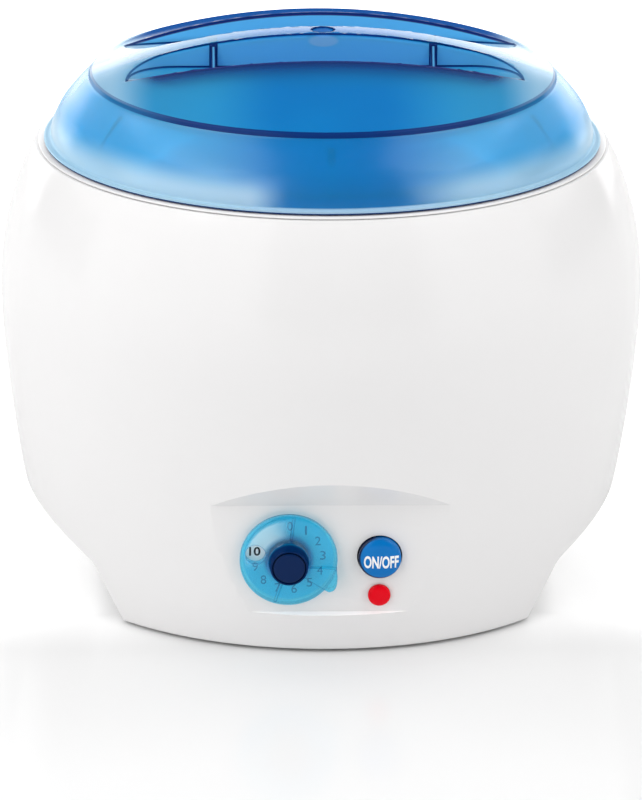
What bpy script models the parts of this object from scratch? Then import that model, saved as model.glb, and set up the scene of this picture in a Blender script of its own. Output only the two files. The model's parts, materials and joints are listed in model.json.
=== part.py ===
# Wax warmer: a white shell with a translucent lid, a heated well with a lift-out pot,
# and a control panel with a thermostat knob, a push button and a pilot lamp.
# Z is up, the front with the panel faces -Y, and the feet stand on Z = 0.

import math

import bmesh
import bpy
from mathutils import Matrix, Vector

# Units and general allowances
mm = 0.001
gap = 0.3 * mm                    # clearance between pieces that seat on each other
weld = 0.01 * mm                  # vertices closer than this are one
overrun = 5 * mm                  # how far a cutter passes the face it cuts

# Facets round a full circle
large_steps = 48
medium_steps = 32
small_steps = 24
tiny_steps = 16

# Housing, whose outline follows shares of its height and of its greatest radius
body_radius = 100 * mm
housing_bottom = 1.2 * mm
housing_height = 137 * mm
wall = 2.5 * mm
housing_outline_shares = [
    (0.000, 0.846), (0.008, 0.853), (0.094, 0.886), (0.188, 0.917), (0.283, 0.943),
    (0.429, 0.973), (0.575, 0.994), (0.692, 1.000), (0.794, 0.987), (0.882, 0.960),
    (0.947, 0.929), (0.980, 0.908), (1.000, 0.892)]
outline_steps = 1                 # rings between two of the outline's points

# Finger coves low on both sides
cove_depth = 22.6 * mm            # cove's foot inside the housing's lower edge
cove_flank_height = 17 * mm
cove_bend = 8 * mm
cove_flank_angle = math.radians(62.5)
cove_roof_angle = math.radians(31)
cove_bend_steps = 4

# Control panel, a flat face that leans in towards its foot
panel_recess = 5.78 * mm          # panel behind the housing's side at the knob's height
panel_height = 31.7 * mm          # height of the knob and the button
panel_lean = math.radians(5.5)
panel_above = 17.0 * mm           # panel's extent above the knob's centre
panel_below = 18.4 * mm
panel_brow_angle = math.radians(52.7)

# Base plate
base_recess = 0.6 * mm            # base plate above the housing's lower edge
base_thickness = 2.6 * mm
base_rim = 0.5 * mm               # plate's edge inside the housing's wall
base_fit = 0.4 * mm                # clearance between the plate and the coves
vent_count = 7
vent_width = 2.4 * mm
vent_length = 26 * mm
vent_pitch = 6 * mm

# Bosses and screws that hold the base plate
boss_inset = 6.52 * mm            # boss inside the housing's lower edge
boss_side_inset = 18 * mm         # boss inside the cove's foot
boss_radius = 4 * mm
boss_height = 14 * mm
boss_rib = 3 * mm
base_screw_radius = 1.4 * mm
base_screw_head_radius = 2.8 * mm
base_screw_head = 1.0 * mm
base_screw_length = 9 * mm

# Feet
foot_radius = 6 * mm
foot_side_inset = 20 * mm         # foot inside the cove's foot
foot_boss_offset = 12.5 * mm      # foot's centre nearer the middle than the boss

# Top collar
lip_thickness = 0.8 * mm
lip_inset = 1.0 * mm              # lip's edge behind the housing's rim
spigot_depth = 6.5 * mm
spigot_thickness = 2.0 * mm
deck_drop = 1.7 * mm              # deck below the top of the lip
deck_thickness = 1.6 * mm
upstand_clearance = 1.4 * mm      # upstand inside the lid's skirt
upstand_thickness = 1.6 * mm
upstand_height = 2.7 * mm
hub_lip_depth = 3.0 * mm
hub_lip_thickness = 2.0 * mm
collar_clearance = 1.5 * mm       # collar's bore round the well

# Heating well and its gasket
well_wall = 1.5 * mm
well_flange_width = 8.5 * mm
well_flange = 1.2 * mm
well_flange_clearance = 8.9 * mm  # flange inside the collar's upstand
well_over_thermostat = 11 * mm    # well's underside above the thermostat
well_corner = 6 * mm
gasket_thickness = 0.8 * mm
gasket_inset = 1.0 * mm

# Wax pot and its bail
pot_clearance = 2.3 * mm
pot_wall = 1.2 * mm
pot_rim_width = 10.8 * mm
pot_rim = 1.2 * mm
pot_floor_clearance = 1.0 * mm
pot_corner = 8 * mm
corner_steps = 3
ear_inset = 2.0 * mm
ear_thickness = 2.0 * mm
ear_half_width = 4 * mm
ear_above_pivot = 3.6 * mm
bail_wire = 1.5 * mm
bail_over_rim = 0.4 * mm
bail_pin = 1.2 * mm               # how far the wire's end stands inside its ear
bail_reach = 6.0 * mm             # bail outside its ears
bail_bend = 4.5 * mm
bail_steps = 20

# Heater, insulation and shield
heater_thickness = 2.5 * mm
heater_height = 28 * mm
heater_rise = 5.5 * mm            # band's lower edge above the well's underside
heater_tab_width = 6 * mm
heater_tab_thickness = 1.0 * mm
heater_tab_drop = 7 * mm
heater_tab_angle = math.radians(160)
sleeve_thickness = 5.3 * mm
sleeve_rise = 1.5 * mm
sleeve_headroom = 13.8 * mm       # sleeve's top below the collar
shield_inset = 4.0 * mm           # shield's edge inside the well's side
shield_thickness = 0.6 * mm
shield_drop = 6.0 * mm            # shield's upper face below the well's underside
shield_vent_radius = 8 * mm

# Pillars between the base plate and the well
pillar_count = 3
pillar_inset = 17 * mm            # pillars inside the well's side
pillar_first_angle = math.radians(30)
pillar_radius = 3.5 * mm
pillar_neck_radius = 2.0 * mm

# Sensors under the well
bulb_radius = 2.0 * mm
bulb_length = 40 * mm
bulb_x = 20 * mm
fuse_radius = 2.0 * mm
fuse_length = 13 * mm
fuse_x = -20 * mm
clip_sheet = 0.6 * mm
clip_foot = 3.5 * mm
clip_width = 6 * mm
clip_steps = 6

# Knob and what turns with it, on the panel's own axes
knob_x = -12.7 * mm
knob_radius = 14.9 * mm
knob_lift = 1.2 * mm              # skirt's underside above the panel
knob_edge = 2.2 * mm
knob_cone = 0.8 * mm
hub_radius = 5.7 * mm
hub_draft = 0.5 * mm
hub_top = 8.9 * mm
hub_recess = 1.3 * mm
hub_recess_rim = 0.6 * mm
cap_thickness = 1.2 * mm
window_radius = 3.05 * mm
window_ring = 10.4 * mm
window_angle = math.radians(167)
lever_shares = [                  # lever's outline as shares of the knob's radius
    (0.20, -0.10), (0.92, -0.14), (1.02, -0.23), (1.035, -0.47), (0.98, -0.61),
    (0.885, -0.665), (0.765, -0.645), (0.34, -0.35), (0.10, -0.20)]
lever_top = 4.9 * mm
lever_lift = 1.8 * mm             # lever's underside above the panel
shaft_radius = 2.5 * mm
shaft_flat = 1.9 * mm
shaft_top = 6.6 * mm
shaft_depth = 9 * mm              # shaft's inner end behind the panel's front
grip_clip_thickness = 0.5 * mm
grip_clip_slit = math.radians(50)
grip_clip_length = 3.6 * mm
grip_clip_lift = 1.6 * mm

# Dial plate
dial_radius = 13.9 * mm
dial_thickness = 0.6 * mm
dial_seat = 0.2 * mm
dial_bore = 4.0 * mm

# Thermostat behind the panel
thermostat_width = 28 * mm
thermostat_height = 18 * mm
thermostat_depth = 20 * mm
thermostat_bevel = 1.0 * mm
thermostat_screw_spread = 9 * mm
thermostat_screw_radius = 1.2 * mm
thermostat_screw_head = 2.3 * mm
thermostat_screw_head_depth = 1.1 * mm
thermostat_screw_length = 8 * mm
screw_recess = 0.2 * mm

# Push button and switch
button_x = 15.1 * mm
button_radius = 6.75 * mm
button_fit = 0.35 * mm
button_side = 1.9 * mm            # straight side that shows above the panel
button_dome = 1.6 * mm
button_dome_steps = 4
button_back = 4.0 * mm
button_travel = 3.0 * mm
button_socket = 2.0 * mm
plunger_radius = 2.0 * mm
plunger_end = 16 * mm
switch_cup_radius = 8.6 * mm
switch_cup_floor = 13 * mm
switch_cup_depth = 14 * mm
switch_half_width = 8 * mm
switch_half_height = 7.6 * mm
switch_back = 24 * mm
spring_radius = 4.2 * mm
spring_wire = 0.35 * mm
spring_turn_count = 4
spring_steps = 10

# Pilot lamp
lamp_drop = 12.7 * mm             # lamp's centre below the button's
lamp_radius = 3.45 * mm
lamp_edge = 0.8 * mm
lamp_dome = 0.9 * mm
lamp_neck = 2.5 * mm
lamp_neck_end = 4.2 * mm
lamp_ring_radius = 3.8 * mm
lamp_ring_thickness = 1.0 * mm
lamp_body_radius = 3.0 * mm
lamp_body_length = 12 * mm

# Cord inlet at the rear, without its cord
inlet_height = 15 * mm
inlet_recess = 2.62 * mm          # the grommet's flat behind the housing's side
inlet_wall = 3.0 * mm
inlet_pad_radius = 10 * mm
inlet_flat_radius = 8.5 * mm
inlet_hole_radius = 5.3 * mm
inlet_bore_radius = 3.2 * mm
inlet_flange_radius = 7.6 * mm
inlet_flange = 1.8 * mm
inlet_inner_flange_radius = 6.5 * mm
inlet_inner_flange = 1.5 * mm

# Terminal block and leads
terminal_width = 24 * mm
terminal_depth = 12 * mm
terminal_height = 12 * mm
terminal_inset = 36.2 * mm        # block's middle inside the inlet's flat
terminal_bevel = 0.8 * mm
terminal_slot_width = 3 * mm
terminal_slot_depth = 4 * mm
terminal_slot_count = 3
lead_radius = 0.9 * mm
lead_run = 7.2 * mm               # straight part at each end of a lead
capillary_radius = 0.8 * mm
route_steps = 4                   # points between two of a route's own points
block_entry_share = 0.25          # leads enter this far up the terminal block
switch_tab_share = 0.5            # tabs' place on the switch's half width
thermostat_tab_shares = (0.333, -0.25)    # tabs' places on the thermostat's width
heater_way_shares = (0.75, 1.7)   # a lead's middle, from the heater's terminal
return_way_shares = (0.85, 0.8, 0.5)
lamp_way_shares = (0.6, -0.25)
capillary_way_shares = (0.6, 0.8)

# Lid
lid_wall = 2.2 * mm
lid_inset = 1.7 * mm              # lid's edge behind the collar's lip
lid_edge = 1.1 * mm
lid_flange = 1.9 * mm
lid_ring_rise = 21.5 * mm         # step ring above the lid's lower edge
lid_skirt_reach = 13.9 * mm       # step ring inside the lid's edge
lid_step = 1.5 * mm
lid_step_slope = 0.6 * mm
lid_crown_rise = 13.3 * mm
lid_cap_steps = 6
lid_skirt_shares = [
    (0.000, 1.000), (0.165, 0.950), (0.330, 0.845), (0.510, 0.690), (0.690, 0.470),
    (0.850, 0.245), (1.000, 0.000)]

# Finger wells in the lid, and the fins on the grip bar between them
bar_half = 4.6 * mm
pocket_end = 11.6 * mm            # finger well's end inside the step ring
pocket_corner_length = 15 * mm
pocket_corner_depth = 16.4 * mm
pocket_bow = 7.8 * mm
pocket_floor_rise = 2.4 * mm      # floor above the step ring
pocket_corner_steps = 5
pocket_bow_steps = 4
fin_inset = 12 * mm               # fin inside the straight part of the bar's wall
fin_thickness = 1.6 * mm
fin_foot = 4.0 * mm
fin_head = 0.4 * mm               # how far a fin stands out at its top
fin_top_drop = 0.8 * mm
dimple_radius = 3.4 * mm
dimple_depth = 2.4 * mm
dimple_boss_radius = 4.6 * mm
dimple_boss_depth = 6.0 * mm

# Heights and radii that several pieces share
def side_radius(height):
    """Housing's outer radius at a height."""
    level = (height - housing_bottom) / housing_height
    for (low, inner), (high, outer) in zip(housing_outline_shares, housing_outline_shares[1:]):
        if level <= high:
            break
    return body_radius * (inner + (outer - inner) * (level - low) / (high - low))


housing_top = housing_bottom + housing_height
base_edge = side_radius(housing_bottom)
rim_radius = side_radius(housing_top)
cove_foot = base_edge - cove_depth
base_radius = base_edge - wall - base_rim
boss_x = cove_foot - boss_side_inset
boss_y = math.sqrt((base_edge - boss_inset) ** 2 - boss_x ** 2)
foot_x = cove_foot - foot_side_inset
foot_y = boss_y - foot_boss_offset
panel_reach = side_radius(panel_height) - panel_recess
inlet_face = side_radius(inlet_height) - inlet_recess
terminal_y = inlet_face - terminal_inset
lamp_x = button_x
lip_radius = rim_radius - lip_inset
lid_radius = lip_radius - lid_inset
lid_ring_radius = lid_radius - lid_skirt_reach
pocket_half_length = lid_ring_radius - pocket_end
fin_x = pocket_half_length - pocket_corner_length - fin_inset
upstand_radius = lid_radius - lid_flange - lid_wall - upstand_clearance
base_low = housing_bottom + base_recess
base_top = base_low + base_thickness
lip_bottom = housing_top + gap
lip_top = lip_bottom + lip_thickness
deck_top = lip_top - deck_drop
deck_low = deck_top - deck_thickness
collar_low = deck_low - hub_lip_depth
gasket_low = deck_top + gap
gasket_top = gasket_low + gasket_thickness
well_flange_low = gasket_top + gap
well_flange_top = well_flange_low + well_flange
well_flange_radius = upstand_radius - upstand_thickness - well_flange_clearance
well_outer_radius = well_flange_radius - well_flange_width
well_inner_radius = well_outer_radius - well_wall
well_low = panel_height + thermostat_height / 2 + well_over_thermostat
pot_rim_low = well_flange_top + gap
pot_rim_top = pot_rim_low + pot_rim
pot_outer_radius = well_inner_radius - pot_clearance
pot_inner_radius = pot_outer_radius - pot_wall
pot_rim_radius = pot_outer_radius + pot_rim_width
pot_low = well_low + well_wall + pot_floor_clearance
ear_outer_x = pot_rim_radius - ear_inset
ear_inner_x = ear_outer_x - ear_thickness
bail_z = pot_rim_top + bail_over_rim + bail_wire
bail_radius = ear_outer_x + bail_reach
heater_inner_radius = well_outer_radius + gap
heater_outer_radius = heater_inner_radius + heater_thickness
heater_low = well_low + heater_rise
sleeve_inner_radius = heater_outer_radius + gap
sleeve_outer_radius = sleeve_inner_radius + sleeve_thickness
shield_radius = well_outer_radius - shield_inset
pillar_ring = well_outer_radius - pillar_inset
shield_top = well_low - shield_drop
shield_low = shield_top - shield_thickness
sensor_z = well_low - gap - bulb_radius
panel_back = -wall
thermostat_front = panel_back - gap
lid_low = lip_top + gap
lid_ring_z = lid_low + lid_ring_rise
lid_crown_z = lid_ring_z + lid_crown_rise
pocket_floor_z = lid_ring_z + pocket_floor_rise

# Panel axes: X along the panel, Y up it, Z out of it
panel_turn = Matrix.Rotation(math.radians(90) + panel_lean, 4, "X")
panel_frame = Matrix.Translation((0, -panel_reach, panel_height)) @ panel_turn


# The scene starts empty
for old in list(bpy.data.objects):
    bpy.data.objects.remove(old, do_unlink=True)

parts = bpy.data.collections.new("wax_warmer")
cutters = bpy.data.collections.new("cutters")
bpy.context.scene.collection.children.link(parts)
bpy.context.scene.collection.children.link(cutters)


def make_material(name, color, roughness, metallic=0.0, alpha=1.0):
    made = bpy.data.materials.new(name)
    made.use_nodes = True
    shader = made.node_tree.nodes["Principled BSDF"]
    shader.inputs["Base Color"].default_value = (*color, 1.0)
    shader.inputs["Roughness"].default_value = roughness
    shader.inputs["Metallic"].default_value = metallic
    shader.inputs["Alpha"].default_value = alpha
    made.diffuse_color = (*color, alpha)
    return made


gloss_white = make_material("gloss_white", (0.90, 0.90, 0.90), 0.22)
base_white = make_material("base_white", (0.82, 0.82, 0.82), 0.45)
lid_blue = make_material("lid_blue", (0.02, 0.32, 0.66), 0.12, alpha=0.8)
knob_blue = make_material("knob_blue", (0.07, 0.46, 0.80), 0.15, alpha=0.85)
cap_navy = make_material("cap_navy", (0.01, 0.06, 0.20), 0.25)
button_blue = make_material("button_blue", (0.01, 0.24, 0.55), 0.2)
lamp_red = make_material("lamp_red", (0.85, 0.01, 0.02), 0.2)
dial_white = make_material("dial_white", (0.88, 0.88, 0.88), 0.4)
rubber_grey = make_material("rubber_grey", (0.12, 0.12, 0.12), 0.8)
silicone = make_material("silicone", (0.65, 0.30, 0.20), 0.6)
aluminium = make_material("aluminium", (0.75, 0.75, 0.76), 0.35, metallic=1.0)
steel = make_material("steel", (0.60, 0.60, 0.62), 0.3, metallic=1.0)
copper = make_material("copper", (0.72, 0.40, 0.25), 0.3, metallic=1.0)
felt = make_material("felt", (0.80, 0.78, 0.70), 0.95)
phenolic = make_material("phenolic", (0.10, 0.09, 0.09), 0.5)
ceramic = make_material("ceramic", (0.80, 0.78, 0.74), 0.5)
lead_brown = make_material("lead_brown", (0.25, 0.11, 0.05), 0.5)
lead_blue = make_material("lead_blue", (0.05, 0.15, 0.50), 0.5)


def link(made, material=None, cutter=False):
    """Put an object in its collection, and dress it or mark it as a cutter."""
    if cutter:
        cutters.objects.link(made)
        made.hide_render = True
        made.display_type = "WIRE"
    else:
        parts.objects.link(made)
    if material is not None:
        made.data.materials.append(material)
    return made


def on_panel(made, x=0.0, y=0.0, z=0.0):
    """Stand an object on the panel's axes at a place of its own."""
    made.parent = panel_empty
    made.location = (x, y, z)
    return made


def wind(outline):
    """Order an outline so that, turned about Z, its faces point out."""
    area = 0.0
    for (r1, z1), (r2, z2) in zip(outline, outline[1:] + outline[:1]):
        area += r1 * z2 - r2 * z1
    return outline if area < 0 else outline[::-1]


def lathe(name, outline, material=None, steps=small_steps, ring=False, cutter=False):
    """Turn an outline of radius and height about Z; a ring's outline closes on itself."""
    mesh = bpy.data.meshes.new(name)
    made = bpy.data.objects.new(name, mesh)
    points = [(r, 0.0, z) for r, z in wind(outline)]
    edges = [(i, i + 1) for i in range(len(points) - 1)]
    if ring:
        edges.append((len(points) - 1, 0))
    mesh.from_pydata(points, edges, [])
    turn = made.modifiers.new("turn", "SCREW")
    turn.axis = "Z"
    turn.steps = steps
    turn.render_steps = steps
    turn.use_merge_vertices = True
    turn.merge_threshold = weld
    turn.use_smooth_shade = True
    return link(made, material, cutter)


def rod(name, radius, low, high, material=None, steps=small_steps, cutter=False, x=0.0, y=0.0):
    """Upright cylinder between two heights."""
    mesh = bpy.data.meshes.new(name)
    shape = bmesh.new()
    middle = Matrix.Translation((x, y, (low + high) / 2))
    bmesh.ops.create_cone(shape, cap_ends=True, segments=steps, radius1=radius,
                          radius2=radius, depth=high - low, matrix=middle)
    shape.to_mesh(mesh)
    shape.free()
    mesh.shade_smooth()
    mesh.set_sharp_from_angle(angle=math.radians(40))
    return link(bpy.data.objects.new(name, mesh), material, cutter)


def box(name, low, high, material=None, cutter=False):
    """Box between its lowest and its highest corner."""
    low, high = Vector(low), Vector(high)
    mesh = bpy.data.meshes.new(name)
    shape = bmesh.new()
    bmesh.ops.create_cube(shape, size=1.0)
    size = high - low
    middle = (high + low) / 2
    bmesh.ops.transform(shape, matrix=Matrix.Translation(middle) @ Matrix.Diagonal((*size, 1.0)),
                        verts=shape.verts)
    shape.to_mesh(mesh)
    shape.free()
    return link(bpy.data.objects.new(name, mesh), material, cutter)


def as_mesh(curve, material=None, cutter=False):
    """Turn a curve object into a welded mesh that booleans can use."""
    bpy.context.view_layer.update()
    evaluated = curve.evaluated_get(bpy.context.evaluated_depsgraph_get())
    mesh = bpy.data.meshes.new_from_object(evaluated)
    shape = bmesh.new()
    shape.from_mesh(mesh)
    bmesh.ops.remove_doubles(shape, verts=shape.verts, dist=weld)
    bmesh.ops.recalc_face_normals(shape, faces=shape.faces)
    shape.to_mesh(mesh)
    shape.free()
    made = bpy.data.objects.new(curve.name, mesh)
    made.matrix_world = curve.matrix_world
    name = curve.name
    bpy.data.objects.remove(curve, do_unlink=True)
    made.name = name
    mesh.materials.clear()
    return link(made, material, cutter)


def prism(name, outline, thickness, frame=Matrix(), material=None, cutter=False):
    """Flat outline in the frame's XY plane, thickened to both sides of it."""
    curve = bpy.data.curves.new(name, "CURVE")
    curve.dimensions = "2D"
    curve.fill_mode = "BOTH"
    curve.extrude = thickness / 2
    spline = curve.splines.new("POLY")
    spline.points.add(len(outline) - 1)
    for point, (x, y) in zip(spline.points, outline):
        point.co = (x, y, 0.0, 1.0)
    spline.use_cyclic_u = True
    drawn = bpy.data.objects.new(name, curve)
    bpy.context.scene.collection.objects.link(drawn)
    drawn.matrix_world = frame
    return as_mesh(drawn, material, cutter)


def wire(name, points, radius, material, resolution=2):
    """Round wire with flat ends along a list of points."""
    curve = bpy.data.curves.new(name, "CURVE")
    curve.dimensions = "3D"
    curve.bevel_depth = radius
    curve.bevel_resolution = resolution
    curve.use_fill_caps = True
    spline = curve.splines.new("POLY")
    spline.points.add(len(points) - 1)
    for point, place in zip(spline.points, points):
        point.co = (*place, 1.0)
    return link(bpy.data.objects.new(name, curve), material)


def combine(made, other, operation):
    """Add an exact boolean of another object to an object."""
    step = made.modifiers.new(other.name, "BOOLEAN")
    step.operation = operation
    step.object = other
    step.solver = "EXACT"
    return made


def cut(made, other):
    return combine(made, other, "DIFFERENCE")


def fuse(made, other):
    return combine(made, other, "UNION")


def bevel(made, width, segments=2):
    step = made.modifiers.new("edges", "BEVEL")
    step.width = width
    step.segments = segments
    step.limit_method = "ANGLE"
    return made


def smooth(points, spans):
    """Points along a Catmull-Rom curve that passes through the given points."""
    vectors = [Vector(point) for point in points]
    ends = [2 * vectors[0] - vectors[1], *vectors, 2 * vectors[-1] - vectors[-2]]
    out = []
    for a, b, c, d in zip(ends, ends[1:], ends[2:], ends[3:]):
        for k in range(spans):
            t = k / spans
            out.append(0.5 * (2 * b + (c - a) * t + (2 * a - 5 * b + 4 * c - d) * t ** 2
                              + (3 * b - a - 3 * c + d) * t ** 3))
    return [tuple(point) for point in out] + [tuple(vectors[-1])]


def offset(outline, distance):
    """Move an open outline to its left by a distance, with mitred corners."""
    places = [Vector(point) for point in outline]
    out = []
    for i, place in enumerate(places):
        before = (place - places[i - 1]).normalized() if i else None
        after = (places[i + 1] - place).normalized() if i + 1 < len(places) else None
        before = before or after
        after = after or before
        left = Vector((-(before + after).y, (before + after).x)).normalized()
        reach = distance / max(left.dot(Vector((-after.y, after.x))), 0.5)
        out.append(tuple(place + left * reach))
    return out


def arc(radius, start, end, steps, x=0.0, y=0.0):
    """Points on an arc between two angles."""
    angles = [start + (end - start) * k / steps for k in range(steps + 1)]
    return [(x + radius * math.cos(a), y + radius * math.sin(a)) for a in angles]


def polar(radius, angle):
    return radius * math.cos(angle), radius * math.sin(angle)


panel_empty = bpy.data.objects.new("panel_axes", None)
parts.objects.link(panel_empty)
panel_empty.matrix_world = panel_frame


def panel_point(x, y, z):
    """A place on the panel's axes, in world coordinates."""
    return tuple(panel_frame @ Vector((x, y, z)))


# Housing

def housing_outline(inset):
    """Housing's outer side from its top down, moved in by an inset."""
    shares = smooth([(r, h) for h, r in housing_outline_shares], outline_steps)
    side = [(r * body_radius - inset, housing_bottom + h * housing_height) for r, h in shares]
    return side[::-1]


def cove_outline(inset):
    """Cove's flank and roof in the XZ plane, moved into the body by an inset."""
    flank_x = cove_flank_height / math.tan(cove_flank_angle)
    below = overrun / math.tan(cove_flank_angle)
    centre_x = cove_foot + flank_x + cove_bend * math.sin(cove_flank_angle)
    centre_z = cove_flank_height - cove_bend * math.cos(cove_flank_angle)
    quarter = math.radians(90)
    bend = arc(cove_bend, quarter + cove_flank_angle, quarter + cove_roof_angle,
               cove_bend_steps, centre_x, centre_z)
    end_x = body_radius + overrun
    end_z = bend[-1][1] + (end_x - bend[-1][0]) * math.tan(cove_roof_angle)
    line = [(cove_foot - below, -overrun), *bend, (end_x, end_z)]
    return offset(line, inset)


def cove_block(name, inset, side):
    """Block that stands outside a cove's outline, along the whole body."""
    line = cove_outline(inset)
    outline = [(side * x, z) for x, z in [*line, (line[-1][0], line[0][1])]]
    upright = Matrix.Rotation(math.radians(90), 4, "X")
    return prism(name, outline, 2 * (body_radius + overrun), upright, cutter=True)


def panel_block(name, inset):
    """Block in front of the panel and its brow, moved into the body by an inset."""
    low = -panel_below - inset
    high = panel_above + inset * math.tan(panel_brow_angle / 2)
    reach = body_radius - panel_reach + overrun
    brow = high + (reach + inset) * math.tan(panel_brow_angle)
    outline = [(-inset, low), (reach, low), (reach, brow), (-inset, high)]
    upright = panel_frame @ Matrix(((0, 0, 1, 0), (0, 1, 0, 0), (-1, 0, 0, 0), (0, 0, 0, 1)))
    outline = [(-w, v) for w, v in outline]
    return prism(name, outline, 2 * body_radius, upright, cutter=True)


def boss_places():
    return [(sx * boss_x, sy * boss_y) for sx in (-1, 1) for sy in (-1, 1)]


def make_housing():
    top, bottom = housing_top + overrun, housing_bottom - overrun
    outer = housing_outline(0)
    made = lathe("housing", [(0, housing_top), *outer, (0, housing_bottom)], gloss_white,
                 large_steps)
    inner = housing_outline(wall)
    core = lathe("housing_core", [(0, top), (inner[0][0], top), *inner, (inner[-1][0], bottom),
                                  (0, bottom)], steps=large_steps, cutter=True)
    for side, word in ((-1, "left"), (1, "right")):
        cut(made, cove_block("cove_" + word, 0, side))
        cut(core, cove_block("cove_wall_" + word, wall, side))
    cut(made, panel_block("panel_cut", 0))
    cut(core, panel_block("panel_wall", wall))
    for number, (x, y) in enumerate(boss_places(), 1):
        boss_low, boss_high = base_top + gap, base_top + gap + boss_height
        boss = rod(f"boss_{number}", boss_radius, boss_low, boss_high, x=x, y=y, cutter=True)
        rib = box(f"boss_rib_{number}", (0, -boss_rib / 2, boss_low),
                  (body_radius - math.hypot(x, y), boss_rib / 2, boss_high), cutter=True)
        rib.location = (x, y, 0)
        rib.rotation_euler = (0, 0, math.atan2(y, x))
        cut(core, boss)
        cut(core, rib)
        hole = rod(f"boss_hole_{number}", base_screw_radius + gap, boss_low - overrun,
                   base_low + base_screw_length + base_screw_head + gap, x=x, y=y,
                   steps=tiny_steps, cutter=True)
        cut(made, hole)
    pad = on_rear(rod("inlet_pad", inlet_pad_radius, -inlet_wall, body_radius - inlet_face,
                      steps=small_steps, cutter=True))
    cut(core, pad)
    flat = on_rear(rod("inlet_flat", inlet_flat_radius, 0, body_radius - inlet_face, cutter=True))
    hole = on_rear(rod("inlet_hole", inlet_hole_radius, -inlet_wall - overrun, overrun,
                       cutter=True))
    cut(made, core)
    cut(made, flat)
    cut(made, hole)
    for name, radius, x, y in (("shaft_hole", shaft_radius + gap, knob_x, 0),
                               ("button_hole", button_radius + button_fit, button_x, 0),
                               ("lamp_hole", lamp_neck + gap, lamp_x, -lamp_drop)):
        cut(made, on_panel(rod(name, radius, -overrun, overrun, cutter=True), x, y))
    for side, word in ((-1, "left"), (1, "right")):
        x = knob_x + side * thermostat_screw_spread
        cut(made, on_panel(rod("screw_hole_" + word, thermostat_screw_radius + gap, -overrun,
                               overrun, steps=tiny_steps, cutter=True), x))
        cut(made, on_panel(rod("screw_seat_" + word, thermostat_screw_head + gap,
                               -screw_recess - thermostat_screw_head_depth - gap, overrun,
                               steps=tiny_steps, cutter=True), x))
    return made


def on_rear(made):
    """Lay an object on the rear inlet's axis, with its Z pointing backwards."""
    made.location = (0, inlet_face, inlet_height)
    made.rotation_euler = (math.radians(-90), 0, 0)
    return made


# Base

def make_base_plate():
    made = rod("base_plate", base_radius, base_low, base_top, base_white, large_steps)
    for side_sign, word in ((-1, "left"), (1, "right")):
        cut(made, cove_block("base_trim_" + word, wall + base_fit, side_sign))
    for number, (x, y) in enumerate(boss_places(), 1):
        cut(made, rod(f"base_hole_{number}", base_screw_radius + gap, base_low - overrun,
                      base_top + overrun, x=x, y=y, steps=tiny_steps, cutter=True))
        cut(made, rod(f"base_seat_{number}", base_screw_head_radius + gap, base_low - overrun,
                      base_low + base_screw_head + gap, x=x, y=y, steps=tiny_steps,
                      cutter=True))
    for k in range(vent_count):
        x = (k - (vent_count - 1) / 2) * vent_pitch
        slot = box(f"vent_{k + 1}", (x - vent_width / 2, -vent_length / 2, base_low - overrun),
                   (x + vent_width / 2, vent_length / 2, base_top + overrun), cutter=True)
        cut(made, slot)
    return made


def make_base_screws():
    for number, (x, y) in enumerate(boss_places(), 1):
        seat = base_low + base_screw_head
        outline = [(0, seat + base_screw_length), (base_screw_radius, seat + base_screw_length),
                   (base_screw_radius, seat), (base_screw_head_radius, seat),
                   (base_screw_head_radius, base_low), (0, base_low)]
        made = lathe(f"base_screw_{number}", outline, steel, tiny_steps)
        made.location = (x, y, 0)


def make_feet():
    places = [(sx * foot_x, sy * foot_y) for sx in (-1, 1) for sy in (-1, 1)]
    for number, (x, y) in enumerate(places, 1):
        rod(f"foot_{number}", foot_radius, 0, base_low - gap, rubber_grey, x=x, y=y)


def make_terminal_block():
    low = base_top + gap
    made = box("terminal_block", (-terminal_width / 2, terminal_y - terminal_depth / 2, low),
               (terminal_width / 2, terminal_y + terminal_depth / 2, low + terminal_height),
               phenolic)
    bevel(made, terminal_bevel, 1)
    pitch = terminal_width / terminal_slot_count
    for k in range(terminal_slot_count):
        x = (k - (terminal_slot_count - 1) / 2) * pitch
        top = low + terminal_height
        slot = box(f"terminal_slot_{k + 1}",
                   (x - terminal_slot_width / 2, terminal_y - terminal_depth,
                    top - terminal_slot_depth),
                   (x + terminal_slot_width / 2, terminal_y + terminal_depth, top + overrun),
                   cutter=True)
        cut(made, slot)


def make_cord_inlet():
    inner = -inlet_wall - gap
    outline = [(inlet_bore_radius, gap + inlet_flange), (inlet_flange_radius, gap + inlet_flange),
               (inlet_flange_radius, gap), (inlet_hole_radius - gap, gap),
               (inlet_hole_radius - gap, inner), (inlet_inner_flange_radius, inner),
               (inlet_inner_flange_radius, inner - inlet_inner_flange),
               (inlet_bore_radius, inner - inlet_inner_flange)]
    on_rear(lathe("cord_inlet", outline, rubber_grey, small_steps, ring=True))


# Collar, well and pot

def make_collar():
    spigot = rim_radius - wall - gap
    bore = well_outer_radius + collar_clearance
    spigot_low = lip_bottom - spigot_depth
    outline = [(upstand_radius, lip_top), (lip_radius, lip_top), (lip_radius, lip_bottom),
               (spigot, lip_bottom), (spigot, spigot_low), (spigot - spigot_thickness, spigot_low),
               (spigot - spigot_thickness, deck_low), (bore + hub_lip_thickness, deck_low),
               (bore + hub_lip_thickness, collar_low), (bore, collar_low), (bore, deck_top),
               (upstand_radius - upstand_thickness, deck_top),
               (upstand_radius - upstand_thickness, lip_top + upstand_height),
               (upstand_radius, lip_top + upstand_height)]
    lathe("top_collar", outline, gloss_white, large_steps, ring=True)


def make_gasket():
    low, high = gasket_low, gasket_top
    inner = well_outer_radius + collar_clearance + gasket_inset
    outer = well_flange_radius - gasket_inset
    outline = [(inner, high), (outer, high), (outer, low), (inner, low)]
    lathe("well_gasket", outline, silicone, medium_steps, ring=True)


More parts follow.
